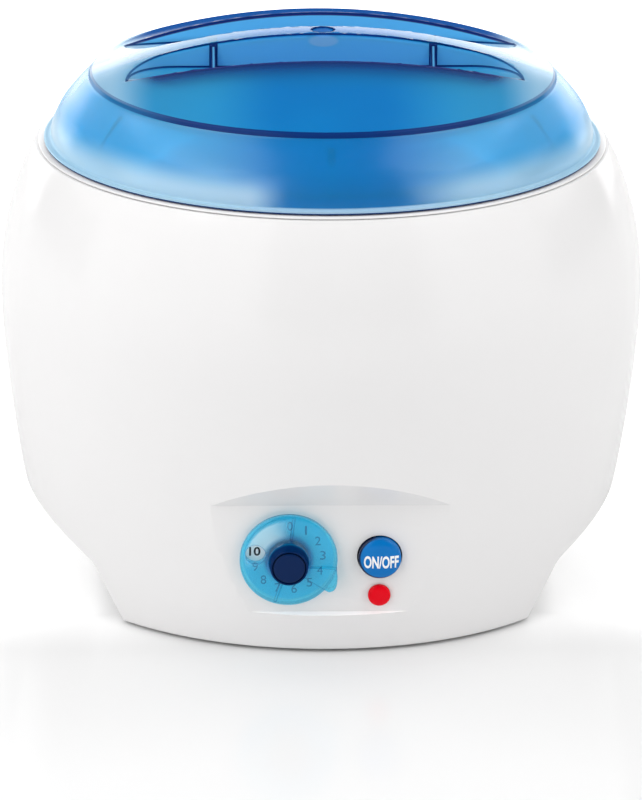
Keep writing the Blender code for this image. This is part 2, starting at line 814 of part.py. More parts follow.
def vessel(inner_radius, sheet, flange_radius, rim_low, rim_top, floor_low, corner):
    """Outline of a drawn vessel with a flat rim and a rounded floor corner."""
    outer_radius = inner_radius + sheet
    quarter = math.radians(90)
    outside = arc(corner, 0, -quarter, corner_steps, outer_radius - corner, floor_low + corner)
    inside = arc(corner - sheet, -quarter, 0, corner_steps, outer_radius - corner,
                 floor_low + corner)
    return [(0, floor_low + sheet), *inside, (inner_radius, rim_top), (flange_radius, rim_top),
            (flange_radius, rim_low), (outer_radius, rim_low), *outside, (0, floor_low)]


def make_well():
    outline = vessel(well_inner_radius, well_wall, well_flange_radius, well_flange_low,
                     well_flange_top, well_low, well_corner)
    lathe("heating_well", outline, aluminium, medium_steps)


def make_pot():
    outline = vessel(pot_inner_radius, pot_wall, pot_rim_radius, pot_rim_low, pot_rim_top,
                     pot_low, pot_corner)
    made = lathe("wax_pot", outline, aluminium, medium_steps)
    for side, word in ((-1, "left"), (1, "right")):
        xs = sorted((side * ear_inner_x, side * ear_outer_x))
        ear = box("ear_" + word, (xs[0], -ear_half_width, pot_rim_top - pot_rim / 2),
                  (xs[1], ear_half_width, bail_z + ear_above_pivot), cutter=True)
        fuse(made, ear)
        hole = rod("ear_hole_" + word, bail_wire + gap, -overrun, overrun, steps=tiny_steps,
                   cutter=True)
        hole.location = (side * (ear_inner_x + ear_outer_x) / 2, 0, bail_z)
        hole.rotation_euler = (0, math.radians(90), 0)
        cut(made, hole)


def make_bail():
    """Bail lying on the rim towards the front, its ends through the ears."""
    start = math.asin(bail_bend / (bail_radius - bail_bend))
    centre_x = math.sqrt((bail_radius - bail_bend) ** 2 - bail_bend ** 2)
    bend = arc(bail_bend, math.radians(90), -start, corner_steps, centre_x, -bail_bend)
    sweep = arc(bail_radius, -start, math.radians(-90), bail_steps // 2)
    half = [(ear_inner_x - bail_pin, 0.0), *bend, *sweep[1:]]
    whole = half + [(-x, y) for x, y in half[-2::-1]]
    made = wire("bail_handle", [(x, y, 0.0) for x, y in whole], bail_wire, steel)
    made.location = (0, 0, bail_z)


# Heater and what is under the well

def make_heater():
    low, high = heater_low, heater_low + heater_height
    outline = [(heater_inner_radius, high), (heater_outer_radius, high),
               (heater_outer_radius, low), (heater_inner_radius, low)]
    made = lathe("band_heater", outline, steel, medium_steps, ring=True)
    middle = (heater_inner_radius + heater_outer_radius) / 2
    for side, word in ((-1, "front"), (1, "rear")):
        tab = box("heater_tab_" + word,
                  (middle - heater_tab_thickness / 2, -heater_tab_width / 2,
                   low - heater_tab_drop),
                  (middle + heater_tab_thickness / 2, heater_tab_width / 2,
                   low + heater_tab_width), cutter=True)
        tab.rotation_euler = (0, 0, side * heater_tab_angle)
        fuse(made, tab)


def heater_terminal(side):
    """Place just under one of the band's terminal tabs."""
    middle = (heater_inner_radius + heater_outer_radius) / 2
    x, y = polar(middle, side * heater_tab_angle)
    return x, y, heater_low - heater_tab_drop - gap


def make_sleeve():
    low, high = well_low + sleeve_rise, collar_low - sleeve_headroom
    outline = [(sleeve_inner_radius, high), (sleeve_outer_radius, high),
               (sleeve_outer_radius, low), (sleeve_inner_radius, low)]
    lathe("insulation_sleeve", outline, felt, medium_steps, ring=True)


def pillar_places():
    turn = math.radians(360) / pillar_count
    return [polar(pillar_ring, pillar_first_angle + k * turn) for k in range(pillar_count)]


def make_shield():
    made = rod("heat_shield", shield_radius, shield_low, shield_top, steel, medium_steps)
    cut(made, rod("shield_vent", shield_vent_radius, shield_low - overrun, shield_top + overrun,
                  cutter=True))
    for number, (x, y) in enumerate(pillar_places(), 1):
        cut(made, rod(f"shield_hole_{number}", pillar_neck_radius + gap, shield_low - overrun,
                      shield_top + overrun, x=x, y=y, steps=tiny_steps, cutter=True))


def make_pillars():
    for number, (x, y) in enumerate(pillar_places(), 1):
        shoulder = shield_low - gap
        outline = [(0, well_low - gap), (pillar_neck_radius, well_low - gap),
                   (pillar_neck_radius, shoulder), (pillar_radius, shoulder),
                   (pillar_radius, base_top + gap), (0, base_top + gap)]
        made = lathe(f"well_pillar_{number}", outline, steel, tiny_steps)
        made.location = (x, y, 0)


def saddle(name, radius, x):
    """Sheet clip that straps a round sensor to the well's underside."""
    inner, outer = radius + gap, radius + gap + clip_sheet
    top = well_low - gap
    foot = top - clip_sheet
    half_turn = math.radians(180)
    right = outer + clip_foot
    outside = arc(outer, 0, -half_turn, clip_steps, 0, sensor_z)
    inside = arc(inner, -half_turn, 0, clip_steps, 0, sensor_z)
    outline = [(right, top), (right, foot), (outer, foot), *outside, (-outer, foot),
               (-right, foot), (-right, top), (-inner, top), *inside, (inner, top)]
    upright = Matrix.Translation((x, 0, 0)) @ Matrix.Rotation(math.radians(90), 4, "X")
    return prism(name, outline, clip_width, upright, steel)


def make_sensors():
    for name, radius, length, x, material in (
            ("thermostat_bulb", bulb_radius, bulb_length, bulb_x, copper),
            ("thermal_fuse", fuse_radius, fuse_length, fuse_x, ceramic)):
        made = rod(name, radius, -length / 2, length / 2, material, tiny_steps)
        made.location = (x, 0, sensor_z)
        made.rotation_euler = (math.radians(90), 0, 0)
    saddle("bulb_clip", bulb_radius, bulb_x)
    saddle("fuse_clip", fuse_radius, fuse_x)


# Knob, dial and thermostat, on the panel's axes

def make_knob():
    rim = knob_lift + knob_edge
    root = rim + knob_cone
    outline = [(0, hub_top), (hub_radius, hub_top), (hub_radius + hub_draft, root),
               (knob_radius, rim), (knob_radius, knob_lift), (0, knob_lift)]
    made = on_panel(lathe("knob", outline, knob_blue, medium_steps), knob_x)
    lever_outline = [(x * knob_radius, y * knob_radius) for x, y in lever_shares]
    middle = Matrix.Translation((knob_x, 0, (lever_lift + lever_top) / 2))
    fuse(made, prism("knob_lever", lever_outline, lever_top - lever_lift,
                     panel_frame @ middle, cutter=True))
    window_x, window_y = polar(window_ring, window_angle)
    cut(made, on_panel(rod("knob_window", window_radius, -overrun, overrun, cutter=True),
                       knob_x + window_x, window_y))
    cut(made, on_panel(rod("hub_recess", hub_radius - hub_recess_rim, hub_top - hub_recess,
                           hub_top + overrun, cutter=True), knob_x))
    bore = shaft_radius + gap + grip_clip_thickness + gap
    cut(made, on_panel(rod("hub_bore", bore, -overrun, shaft_top + gap, cutter=True), knob_x))


def make_knob_cap():
    low = hub_top - hub_recess + gap
    radius = hub_radius - hub_recess_rim - gap
    made = rod("knob_cap", radius, low, low + cap_thickness, cap_navy)
    on_panel(made, knob_x)


def make_shaft():
    made = rod("thermostat_shaft", shaft_radius, -shaft_depth, shaft_top, steel)
    on_panel(made, knob_x)
    flat = box("shaft_flat", (-shaft_radius, shaft_flat, 0),
               (shaft_radius, shaft_flat + overrun, shaft_top + overrun), cutter=True)
    cut(made, on_panel(flat, knob_x))


def make_grip_clip():
    """Split spring sleeve that grips the shaft inside the hub."""
    inner = shaft_radius + gap
    outer = inner + grip_clip_thickness
    start, end = grip_clip_slit / 2, math.radians(360) - grip_clip_slit / 2
    outline = arc(outer, start, end, small_steps) + arc(inner, end, start, small_steps)
    low = knob_lift + grip_clip_lift
    middle = Matrix.Translation((knob_x, 0, low + grip_clip_length / 2))
    prism("knob_clip", outline, grip_clip_length, panel_frame @ middle, steel)


def make_dial():
    low = dial_seat
    outline = [(dial_bore, low + dial_thickness), (dial_radius, low + dial_thickness),
               (dial_radius, low), (dial_bore, low)]
    on_panel(lathe("dial_plate", outline, dial_white, medium_steps, ring=True), knob_x)


def make_thermostat():
    back = thermostat_front - thermostat_depth
    made = box("thermostat_body", (-thermostat_width / 2, -thermostat_height / 2, back),
               (thermostat_width / 2, thermostat_height / 2, thermostat_front), phenolic)
    on_panel(made, knob_x)
    bevel(made, thermostat_bevel, 1)
    cut(made, on_panel(rod("thermostat_bore", shaft_radius + gap, -shaft_depth - gap, overrun,
                           cutter=True), knob_x))
    for side, word in ((-1, "left"), (1, "right")):
        x = knob_x + side * thermostat_screw_spread
        head = -screw_recess
        seat = head - thermostat_screw_head_depth
        end = head - thermostat_screw_length
        outline = [(0, head), (thermostat_screw_head, head), (thermostat_screw_head, seat),
                   (thermostat_screw_radius, seat), (thermostat_screw_radius, end), (0, end)]
        on_panel(lathe("thermostat_screw_" + word, outline, steel, tiny_steps), x)
        cut(made, on_panel(rod("thermostat_hole_" + word, thermostat_screw_radius + gap,
                               end - gap, overrun, steps=tiny_steps, cutter=True), x))


# Button, switch and lamp, on the panel's axes

def dome(radius, low, rise, steps):
    """Outline of a low dome from its crown to its edge."""
    return [(radius * math.sin(t), low + rise * math.cos(t))
            for t in [math.radians(90) * k / steps for k in range(steps + 1)]]


def make_button():
    outline = [*dome(button_radius, button_side, button_dome, button_dome_steps),
               (button_radius, -button_back), (0, -button_back)]
    made = on_panel(lathe("button_cap", outline, button_blue, medium_steps), button_x)
    cut(made, on_panel(rod("button_socket", plunger_radius + gap, -button_back - overrun,
                           -button_back + button_socket, steps=tiny_steps, cutter=True),
                       button_x))
    top = -button_back + button_socket - gap
    on_panel(rod("switch_plunger", plunger_radius, -plunger_end, top, base_white, tiny_steps),
             button_x)


def make_switch():
    front = panel_back - gap
    made = rod("switch_body", switch_cup_radius, -switch_cup_depth - overrun, front, phenolic)
    on_panel(made, button_x)
    case = box("switch_case", (-switch_half_width, -switch_half_height, -switch_back),
               (switch_half_width, switch_half_height, -switch_cup_depth), cutter=True)
    fuse(made, on_panel(case, button_x))
    cut(made, on_panel(rod("switch_cup", button_radius + button_fit, -switch_cup_floor, overrun,
                           cutter=True), button_x))
    cut(made, on_panel(rod("plunger_bore", plunger_radius + gap,
                           -plunger_end - button_travel - 2 * gap, overrun, steps=tiny_steps,
                           cutter=True), button_x))
    low = -switch_cup_floor + gap + spring_wire
    high = -button_back - button_travel - gap - spring_wire
    count = spring_turn_count * spring_steps
    turns = [2 * math.pi * spring_turn_count * k / count for k in range(count + 1)]
    points = [(spring_radius * math.cos(a), spring_radius * math.sin(a),
               low + (high - low) * k / count) for k, a in enumerate(turns)]
    on_panel(wire("switch_spring", points, spring_wire, steel, 1), button_x)


def make_lamp():
    outline = [*dome(lamp_radius, gap + lamp_edge, lamp_dome, button_dome_steps),
               (lamp_radius, gap), (lamp_neck, gap), (lamp_neck, -lamp_neck_end),
               (0, -lamp_neck_end)]
    on_panel(lathe("lamp_lens", outline, lamp_red), lamp_x, -lamp_drop)
    ring_top = panel_back - gap
    ring_low = ring_top - lamp_ring_thickness
    outline = [(lamp_neck + gap, ring_top), (lamp_ring_radius, ring_top),
               (lamp_ring_radius, ring_low), (lamp_neck + gap, ring_low)]
    on_panel(lathe("lamp_ring", outline, steel, ring=True), lamp_x, -lamp_drop)
    top = -lamp_neck_end - gap
    on_panel(rod("lamp_body", lamp_body_radius, top - lamp_body_length, top, ceramic), lamp_x,
             -lamp_drop)


# Leads and the capillary, each from one piece's face to the next

def make_leads():
    block_front = terminal_y - terminal_depth / 2 - gap
    block_z = base_top + gap + terminal_height * block_entry_share
    switch_rear = -switch_back - gap
    thermostat_rear = thermostat_front - thermostat_depth - gap
    side = terminal_width / terminal_slot_count
    tabs = [thermostat_width * share for share in thermostat_tab_shares]

    def ends(start, start_way, end, end_way):
        """A route's ends, each with a short straight run away from its face."""
        start, end = Vector(start), Vector(end)
        first = [start, start + Vector(start_way) * lead_run]
        last = [end + Vector(end_way) * lead_run, end]
        return first, last

    back, ahead = (0, 1, 0), (0, -1, 0)
    switch_tab = switch_half_width * switch_tab_share
    first, last = ends((side, block_front, block_z), ahead,
                       panel_point(button_x + switch_tab, 0, switch_rear), back)
    middle = [(side + switch_tab, 0, block_z)]
    lead("lead_supply", first, middle, last, lead_brown)

    first, last = ends(panel_point(button_x - switch_tab, 0, switch_rear), back,
                       panel_point(knob_x + tabs[0], 0, thermostat_rear), back)
    lead("lead_switched", first, [], last, lead_brown)

    terminal = heater_terminal(-1)
    first, last = ends(panel_point(knob_x + tabs[1], 0, thermostat_rear), back,
                       terminal, (0, 0, -1))
    across, along = heater_way_shares
    middle = [(terminal[0] * across, terminal[1] * along, panel_height)]
    lead("lead_heater", first, middle, last, lead_brown)

    terminal = heater_terminal(1)
    first, last = ends((-terminal_width / 2 - gap, terminal_y, block_z), (-1, 0, 0),
                       terminal, (0, 0, -1))
    across, along, up = return_way_shares
    middle = [(terminal[0] * across, terminal_y * along, panel_height * up)]
    lead("lead_return", first, middle, last, lead_blue)

    lamp_rear = -lamp_neck_end - 2 * gap - lamp_body_length
    first, last = ends((0, block_front, block_z), ahead,
                       panel_point(lamp_x, -lamp_drop, lamp_rear), back)
    across, along = lamp_way_shares
    middle = [(lamp_x * across, block_front * along, block_z)]
    lead("lead_lamp", first, middle, last, lead_blue)

    up, across = capillary_way_shares
    top = panel_point(knob_x, thermostat_height / 2 + gap, thermostat_front
                      - thermostat_depth * up)
    bulb_end = (bulb_x, -bulb_length / 2 - gap, sensor_z)
    rise = shield_top + bulb_radius - top[2]
    points = [top, (top[0], top[1], top[2] + rise * up),
              (top[0], top[1] + rise, top[2] + rise),
              (0, -pillar_ring - 2 * pillar_radius, sensor_z),
              (bulb_x * across, -pillar_ring + pillar_radius, sensor_z),
              (bulb_x, bulb_end[1] - lead_run, sensor_z), bulb_end]
    wire("capillary", smooth(points, route_steps), capillary_radius, copper, 1)


def lead(name, first, middle, last, material):
    """Insulated lead along a smooth route through its own points."""
    route = smooth([first[1], *middle, last[0]], route_steps)
    wire(name, [tuple(first[0]), *route, tuple(last[1])], lead_radius, material)


# Lid

def lid_outline():
    """Lid's outer side from its crown down to its lower edge."""
    cap_radius = lid_ring_radius - lid_step_slope
    cap = [(cap_radius * k / lid_cap_steps,
            lid_ring_z + lid_crown_rise * (1 - (k / lid_cap_steps) ** 2))
           for k in range(lid_cap_steps + 1)]
    skirt_top = lid_ring_z - lid_step
    skirt_low = lid_low + lid_edge
    skirt_radius = lid_radius - lid_flange
    skirt = [(lid_ring_radius + (skirt_radius - lid_ring_radius) * out,
              skirt_low + (skirt_top - skirt_low) * up)
             for up, out in lid_skirt_shares[::-1]]
    return [*cap, *skirt, (lid_radius, skirt_low), (lid_radius, lid_low)]


def lid_core_outline():
    """Lid's inner side, a wall's thickness inside the outer one."""
    outer = lid_outline()[:-2]
    inner = offset(outer, -lid_wall)
    inner[0] = (0, inner[0][1])
    edge = inner[-1][0]
    inner = [point for point in inner if point[1] > lid_low + lid_edge]
    return [*inner, (edge, lid_low + lid_edge), (edge, lid_low - overrun),
            (0, lid_low - overrun)]


def pocket_outline(inset, side):
    """Plan of a finger well: straight along the bar, rounded ends, bowed front edge."""
    quarter = math.radians(90)
    corner_x = pocket_half_length - pocket_corner_length
    back = bar_half + pocket_corner_depth
    right = [(corner_x + pocket_corner_length * math.sin(quarter * k / pocket_corner_steps),
              back - pocket_corner_depth * math.cos(quarter * k / pocket_corner_steps))
             for k in range(pocket_corner_steps + 1)]
    spans = [2 * k / (2 * pocket_bow_steps + 1) for k in range(1, pocket_bow_steps + 1)]
    bow = [(pocket_half_length * (1 - t), back + pocket_bow * (1 - (1 - t) ** 2)) for t in spans]
    half = offset([(0, bar_half), *right, *bow, (-bow[-1][0], bow[-1][1])], -inset)[1:-1]
    whole = half + [(-x, y) for x, y in half[::-1]]
    return [(x, side * y) for x, y in whole]


def pocket_block(name, inset, side):
    """Block that fills a finger well from its floor to above the crown."""
    low = pocket_floor_z - inset
    high = lid_crown_z + overrun
    middle = Matrix.Translation((0, 0, (low + high) / 2))
    return prism(name, pocket_outline(inset, side), high - low, middle, cutter=True)


def fin_block(name, x, side):
    """Fin on the bar's wall, flush at its top and standing out at its foot."""
    top = lid_crown_z - fin_top_drop - lid_crown_rise * (x / lid_ring_radius) ** 2
    wall_y = bar_half - lid_wall / 2
    outline = [(side * wall_y, pocket_floor_z - lid_wall / 2), (side * wall_y, top),
               (side * (bar_half + fin_head), top),
               (side * (bar_half + fin_foot), pocket_floor_z + fin_head),
               (side * (bar_half + fin_foot), pocket_floor_z - lid_wall / 2)]
    upright = Matrix.Translation((x, 0, 0)) @ Matrix(((0, 0, 1, 0), (1, 0, 0, 0), (0, 1, 0, 0),
                                                      (0, 0, 0, 1)))
    return prism(name, outline, fin_thickness, upright, cutter=True)


def make_lid():
    made = lathe("lid", [*lid_outline(), (0, lid_low)], lid_blue, large_steps)
    core = lathe("lid_core", lid_core_outline(), steps=large_steps, cutter=True)
    for side, word in ((-1, "front"), (1, "back")):
        cut(made, pocket_block("pocket_" + word, 0, side))
        cut(core, pocket_block("pocket_wall_" + word, lid_wall, side))
    boss = rod("dimple_boss", dimple_boss_radius, lid_crown_z - dimple_boss_depth, lid_crown_z,
               cutter=True)
    cut(core, boss)
    cut(made, core)
    for side, word in ((-1, "front"), (1, "back")):
        for x, end in ((-fin_x, "left"), (fin_x, "right")):
            fuse(made, fin_block(f"fin_{word}_{end}", x, side))
    cut(made, rod("dimple", dimple_radius, lid_crown_z - dimple_depth, lid_crown_z + overrun,
                  cutter=True))


make_housing()
make_base_plate()
make_base_screws()
make_feet()
make_terminal_block()
make_cord_inlet()
make_collar()
make_gasket()
make_well()
make_pot()
make_bail()
make_heater()
make_sleeve()
make_shield()
make_pillars()
make_sensors()
make_knob()
make_knob_cap()
make_shaft()
make_grip_clip()
make_dial()
make_thermostat()
make_button()
make_switch()
make_lamp()
make_leads()
make_lid()
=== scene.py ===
import json
import math

import bmesh
import bpy
from mathutils import Matrix, Vector


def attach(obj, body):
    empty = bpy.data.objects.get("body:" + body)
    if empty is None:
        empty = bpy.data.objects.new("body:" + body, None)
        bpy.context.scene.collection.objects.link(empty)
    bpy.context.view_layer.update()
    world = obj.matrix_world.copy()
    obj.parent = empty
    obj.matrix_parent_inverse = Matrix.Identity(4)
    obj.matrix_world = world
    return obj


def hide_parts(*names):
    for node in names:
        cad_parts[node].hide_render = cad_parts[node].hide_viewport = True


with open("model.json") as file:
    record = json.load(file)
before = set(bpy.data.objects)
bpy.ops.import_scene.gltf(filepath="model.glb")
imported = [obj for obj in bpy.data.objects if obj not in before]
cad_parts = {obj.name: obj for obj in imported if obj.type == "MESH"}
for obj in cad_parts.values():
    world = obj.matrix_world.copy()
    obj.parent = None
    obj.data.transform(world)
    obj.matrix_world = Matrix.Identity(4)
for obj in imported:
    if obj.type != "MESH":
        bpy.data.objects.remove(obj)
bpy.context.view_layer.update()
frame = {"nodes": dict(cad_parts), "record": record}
nodes = frame["nodes"]
mm = 0.001

print("frame loaded:", len(nodes), "nodes")


# Shader helpers

class Sock:
    # an output socket, or a number, on which plain maths can be written
    def __init__(self, shade, out):
        self.shade = shade
        self.out = out

    def calc(self, operation, *terms):
        made = self.shade.node("ShaderNodeMath", {"operation": operation}, dict(enumerate(terms)))
        return made["Value"]

    def __add__(self, other):
        return self.calc("ADD", self, other)

    def __sub__(self, other):
        return self.calc("SUBTRACT", self, other)

    def __rsub__(self, other):
        return self.calc("SUBTRACT", other, self)

    def __mul__(self, other):
        return self.calc("MULTIPLY", self, other)

    def __truediv__(self, other):
        return self.calc("DIVIDE", self, other)

    def __pow__(self, other):
        return self.calc("POWER", self, other)

    __radd__ = __add__
    __rmul__ = __mul__

    def size(self):
        return self.calc("ABSOLUTE", self)

    def atMost(self, other):
        return self.calc("MINIMUM", self, other)

    def atLeast(self, other):
        return self.calc("MAXIMUM", self, other)

    def ramp(self, low, high, start=0.0, end=1.0):
        # a soft step from start to end, as the value goes from low to high
        made = self.shade.node("ShaderNodeMapRange", {"interpolation_type": "SMOOTHSTEP"},
                               {"Value": self, "From Min": low, "From Max": high,
                                "To Min": start, "To Max": end})
        return made["Result"]

    def fade(self, low, high, start=0.0, end=1.0):
        # the same step between two places in mm
        return self.ramp(low * mm, high * mm, start, end)


class Made:
    # a node that was added; its outputs are read by name
    def __init__(self, shade, node):
        self.shade = shade
        self.node = node

    def __getitem__(self, name):
        return Sock(self.shade, self.node.outputs[name])


class Shade:
    # a material, or the world, and the node tree it is built in
    def __init__(self, name, world=False):
        self.owner = (bpy.data.worlds if world else bpy.data.materials).new(name)
        self.owner.use_nodes = True
        self.tree = self.owner.node_tree
        self.tree.nodes.clear()
        self.output = "ShaderNodeOutputWorld" if world else "ShaderNodeOutputMaterial"
        self.spot = None if world else self.node("ShaderNodeTexCoord")["Object"]

    def node(self, kind, settings=None, values=None):
        made = self.tree.nodes.new(kind)
        for key, value in (settings or {}).items():
            setattr(made, key, value)
        for key, value in (values or {}).items():
            socket = made.inputs[key]
            if isinstance(value, Sock):
                self.tree.links.new(value.out, socket)
            elif isinstance(value, tuple) and len(value) == 3 and socket.type == "RGBA":
                socket.default_value = (*value, 1.0)
            else:
                socket.default_value = value
        return Made(self, made)

    def noise(self, scale, detail=3.0, rough=0.5, spot=None):
        made = self.node("ShaderNodeTexNoise", None,
                         {"Vector": spot or self.spot, "Scale": scale, "Detail": detail,
                          "Roughness": rough})
        return made["Fac"]

    def stretch(self, scale):
        made = self.node("ShaderNodeMapping", None, {"Vector": self.spot, "Scale": scale})
        return made["Vector"]

    def axes(self):
        made = self.node("ShaderNodeSeparateXYZ", None, {"Vector": self.spot})
        return made["X"], made["Y"], made["Z"]

    def blend(self, amount, first, second):
        # a mix of two colours, by the colour sockets of the node
        made = self.node("ShaderNodeMix", {"data_type": "RGBA"},
                         {0: amount, 6: first, 7: second})
        return Sock(self, made.node.outputs[2])

    def bump(self, height, strength, distance):
        made = self.node("ShaderNodeBump", None,
                         {"Height": height, "Strength": strength, "Distance": distance})
        return made["Normal"]

    def finish(self, **values):
        # the principled shader with its sockets set, as the surface
        named = {key.replace("_", " "): value for key, value in values.items()}
        made = self.node("ShaderNodeBsdfPrincipled", None, named)
        return self.surface(made["BSDF"])

    def surface(self, shader):
        self.node(self.output, None, {"Surface": shader})
        return self.owner


def hue(red, green, blue):
    # a colour as a picture program shows it, from 0 to 255, made linear
    def line(value):
        value = value / 255
        return value / 12.92 if value <= 0.04045 else ((value + 0.055) / 1.055) ** 2.4
    return (line(red), line(green), line(blue))


white = (1.0, 1.0, 1.0)


# Modelling helpers

def deselectAll():
    if bpy.context.object and bpy.context.object.mode != "OBJECT":
        bpy.ops.object.mode_set(mode="OBJECT")
    bpy.ops.object.select_all(action="DESELECT")


def makeActive(piece):
    deselectAll()
    piece.select_set(True)
    bpy.context.view_layer.objects.active = piece


def named(name):
    # names the piece that was just added
    piece = bpy.context.object
    piece.name = piece.data.name = name
    return piece


def move(x=0, y=0, z=0):
    # a shift in mm
    return Matrix.Translation((x * mm, y * mm, z * mm))


def spin(angle, axis):
    # a turn in degrees
    return Matrix.Rotation(math.radians(angle), 4, axis)


def alongX(x):
    # an outline drawn flat is stood up across the x axis, at a place on it in mm
    return Matrix(((0, 0, 1, x * mm), (1, 0, 0, 0), (0, 1, 0, 0), (0, 0, 0, 1)))


def editAll(piece):
    # edit mode with all of the piece selected
    makeActive(piece)
    bpy.ops.object.mode_set(mode="EDIT")
    bpy.ops.mesh.select_all(action="SELECT")


def closeEdit():
    # all faces outwards, and back to object mode
    bpy.ops.mesh.select_all(action="SELECT")
    bpy.ops.mesh.normals_make_consistent(inside=False)
    bpy.ops.object.mode_set(mode="OBJECT")


def pick(piece, kind, test):
    # selects what passes a test of its place or normal, in edit mode
    shape = bmesh.from_edit_mesh(piece.data)
    bpy.ops.mesh.select_all(action="DESELECT")
    for item in getattr(shape, kind):
        item.select_set(bool(test(item)))
    shape.select_flush_mode()
    bmesh.update_edit_mesh(piece.data)


def settle(piece, place=None):
    # puts the piece in its place, and the place in its mesh
    makeActive(piece)
    if place is not None:
        piece.matrix_world = place
    bpy.ops.object.transform_apply(location=True, rotation=True, scale=True)
    return piece


def applyStep(piece, step):
    makeActive(piece)
    bpy.ops.object.modifier_apply(modifier=step.name)


def carve(piece, cutter, operation="DIFFERENCE"):
    step = piece.modifiers.new("carve", "BOOLEAN")
    step.operation = operation
    step.object = cutter
    step.solver = "EXACT"
    applyStep(piece, step)
    bpy.data.objects.remove(cutter, do_unlink=True)
    return piece


def softenEdges(piece, width, segments=2, angle=35, **more):
    # rounds the edges that are sharper than an angle by a width in mm
    step = piece.modifiers.new("soften", "BEVEL")
    step.width = width * mm
    step.segments = segments
    step.limit_method = "ANGLE"
    step.angle_limit = math.radians(angle)
    for key, value in more.items():
        setattr(step, key, value)
    applyStep(piece, step)
    return piece


def shadeSmooth(piece, angle=35):
    makeActive(piece)
    bpy.ops.object.shade_smooth_by_angle(angle=math.radians(angle))
    return piece


def evenNormals(piece):
    # large faces lead the shading beside a narrow rounded edge
    step = piece.modifiers.new("evenNormals", "WEIGHTED_NORMAL")
    step.keep_sharp = True
    applyStep(piece, step)
    return piece


def dress(piece, slot, body, *replaced, material=None):
    # the finish of its slot or one of its own, the body it rides on, and what it stands for
    piece.data.materials.clear()
    piece.data.materials.append(material or finishes[slot])
    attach(piece, body)
    if replaced:
        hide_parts(*replaced)
    return piece


def smoothLine(points, spans):
    # more points on an even curve through the given ones
    places = [Vector(point) for point in points]
    ends = [2 * places[0] - places[1], *places, 2 * places[-1] - places[-2]]
    line = []
    for a, b, c, d in zip(ends, ends[1:], ends[2:], ends[3:]):
        for k in range(spans):
            t = k / spans
            line.append(0.5 * (2 * b + (c - a) * t + (2 * a - 5 * b + 4 * c - d) * t ** 2
                               + (3 * b - a - 3 * c + d) * t ** 3))
    return [tuple(point) for point in line] + [tuple(places[-1])]


def turnPiece(name, profile, around=96, ring=False):
    # a circle is drawn out from point to point of a profile of radius and height, in mm
    startsClosed = profile[0][0] == 0
    line = profile[1:] if startsClosed else profile
    if ring:
        line = line + [line[0]]
    deselectAll()
    radius, height = line[0]
    bpy.ops.mesh.primitive_circle_add(vertices=around, radius=radius * mm,
                                      location=(0, 0, height * mm))
    piece = named(name)
    bpy.ops.object.transform_apply(location=True)
    bpy.ops.object.mode_set(mode="EDIT")
    if startsClosed:
        bpy.ops.mesh.select_all(action="SELECT")
        bpy.ops.mesh.edge_face_add()
        if profile[0][1] != height:
            bpy.ops.mesh.poke()
            pick(piece, "verts", lambda v: v.co.xy.length < radius * mm / 2)
            bpy.ops.transform.translate(value=(0, 0, (profile[0][1] - height) * mm))
    pick(piece, "verts", lambda v: v.co.xy.length > radius * mm / 2)
    for nextRadius, nextHeight in line[1:]:
        bpy.ops.mesh.extrude_edges_move(
            TRANSFORM_OT_translate={"value": (0, 0, (nextHeight - height) * mm)})
        if nextRadius == 0:
            bpy.ops.mesh.merge(type="CENTER")
        elif nextRadius != radius:
            scale = nextRadius / radius
            bpy.ops.transform.resize(value=(scale, scale, 1),
                                     center_override=(0, 0, nextHeight * mm))
        radius, height = nextRadius, nextHeight
    bpy.ops.mesh.select_all(action="SELECT")
    bpy.ops.mesh.remove_doubles(threshold=0.002 * mm)
    closeEdit()
    return shadeSmooth(piece)


def outlineBlock(name, outline, thickness, place=None):
    # a disc is reshaped to an outline, in mm, and extruded to both sides of it
    deselectAll()
    bpy.ops.mesh.primitive_circle_add(vertices=len(outline), fill_type="NGON")
    piece = named(name)
    bpy.ops.object.mode_set(mode="EDIT")
    shape = bmesh.from_edit_mesh(piece.data)
    shape.verts.ensure_lookup_table()
    loop = [corner.vert for corner in shape.faces[:][0].loops]
    for vert, (x, y) in zip(loop, outline):
        vert.co = (x * mm, y * mm, -thickness * mm / 2)
    bmesh.update_edit_mesh(piece.data)
    bpy.ops.mesh.select_all(action="SELECT")
    bpy.ops.mesh.extrude_region_move(
        TRANSFORM_OT_translate={"value": (0, 0, thickness * mm)})
    closeEdit()
    return settle(piece, place)


def peg(name, radius, low, high, place=None, around=48):
    # a round bar between two heights, in mm
    deselectAll()
    bpy.ops.mesh.primitive_cylinder_add(vertices=around, radius=radius * mm,
                                        depth=(high - low) * mm,
                                        location=(0, 0, (high + low) * mm / 2))
    piece = named(name)
    bpy.ops.object.transform_apply(location=True)
    return settle(piece, place)


def block(name, low, high, place=None):
    deselectAll()
    middle = [(a + b) * mm / 2 for a, b in zip(low, high)]
    bpy.ops.mesh.primitive_cube_add(size=1, location=middle,
                                    scale=[(b - a) * mm for a, b in zip(low, high)])
    piece = named(name)
    bpy.ops.object.transform_apply(location=True, scale=True)
    return settle(piece, place)


def arc(radius, start, end, steps, x=0.0, y=0.0):
    # points on an arc, with its angles in degrees
    angles = [math.radians(start + (end - start) * k / steps) for k in range(steps + 1)]
    return [(x + radius * math.cos(a), y + radius * math.sin(a)) for a in angles]


def shiftLine(line, distance):
    # moves an open outline to its left, with mitred corners
    places = [Vector(point) for point in line]
    moved = []
    for i, place in enumerate(places):
        before = (place - places[i - 1]).normalized() if i else None
        after = (places[i + 1] - place).normalized() if i + 1 < len(places) else None
        before = before or after
        after = after or before
        left = Vector((-(before + after).y, (before + after).x)).normalized()
        reach = distance / max(left.dot(Vector((-after.y, after.x))), 0.5)
        moved.append(tuple(place + left * reach))
    return moved


# The control panel and the cord inlet: where they are, and what passes through them

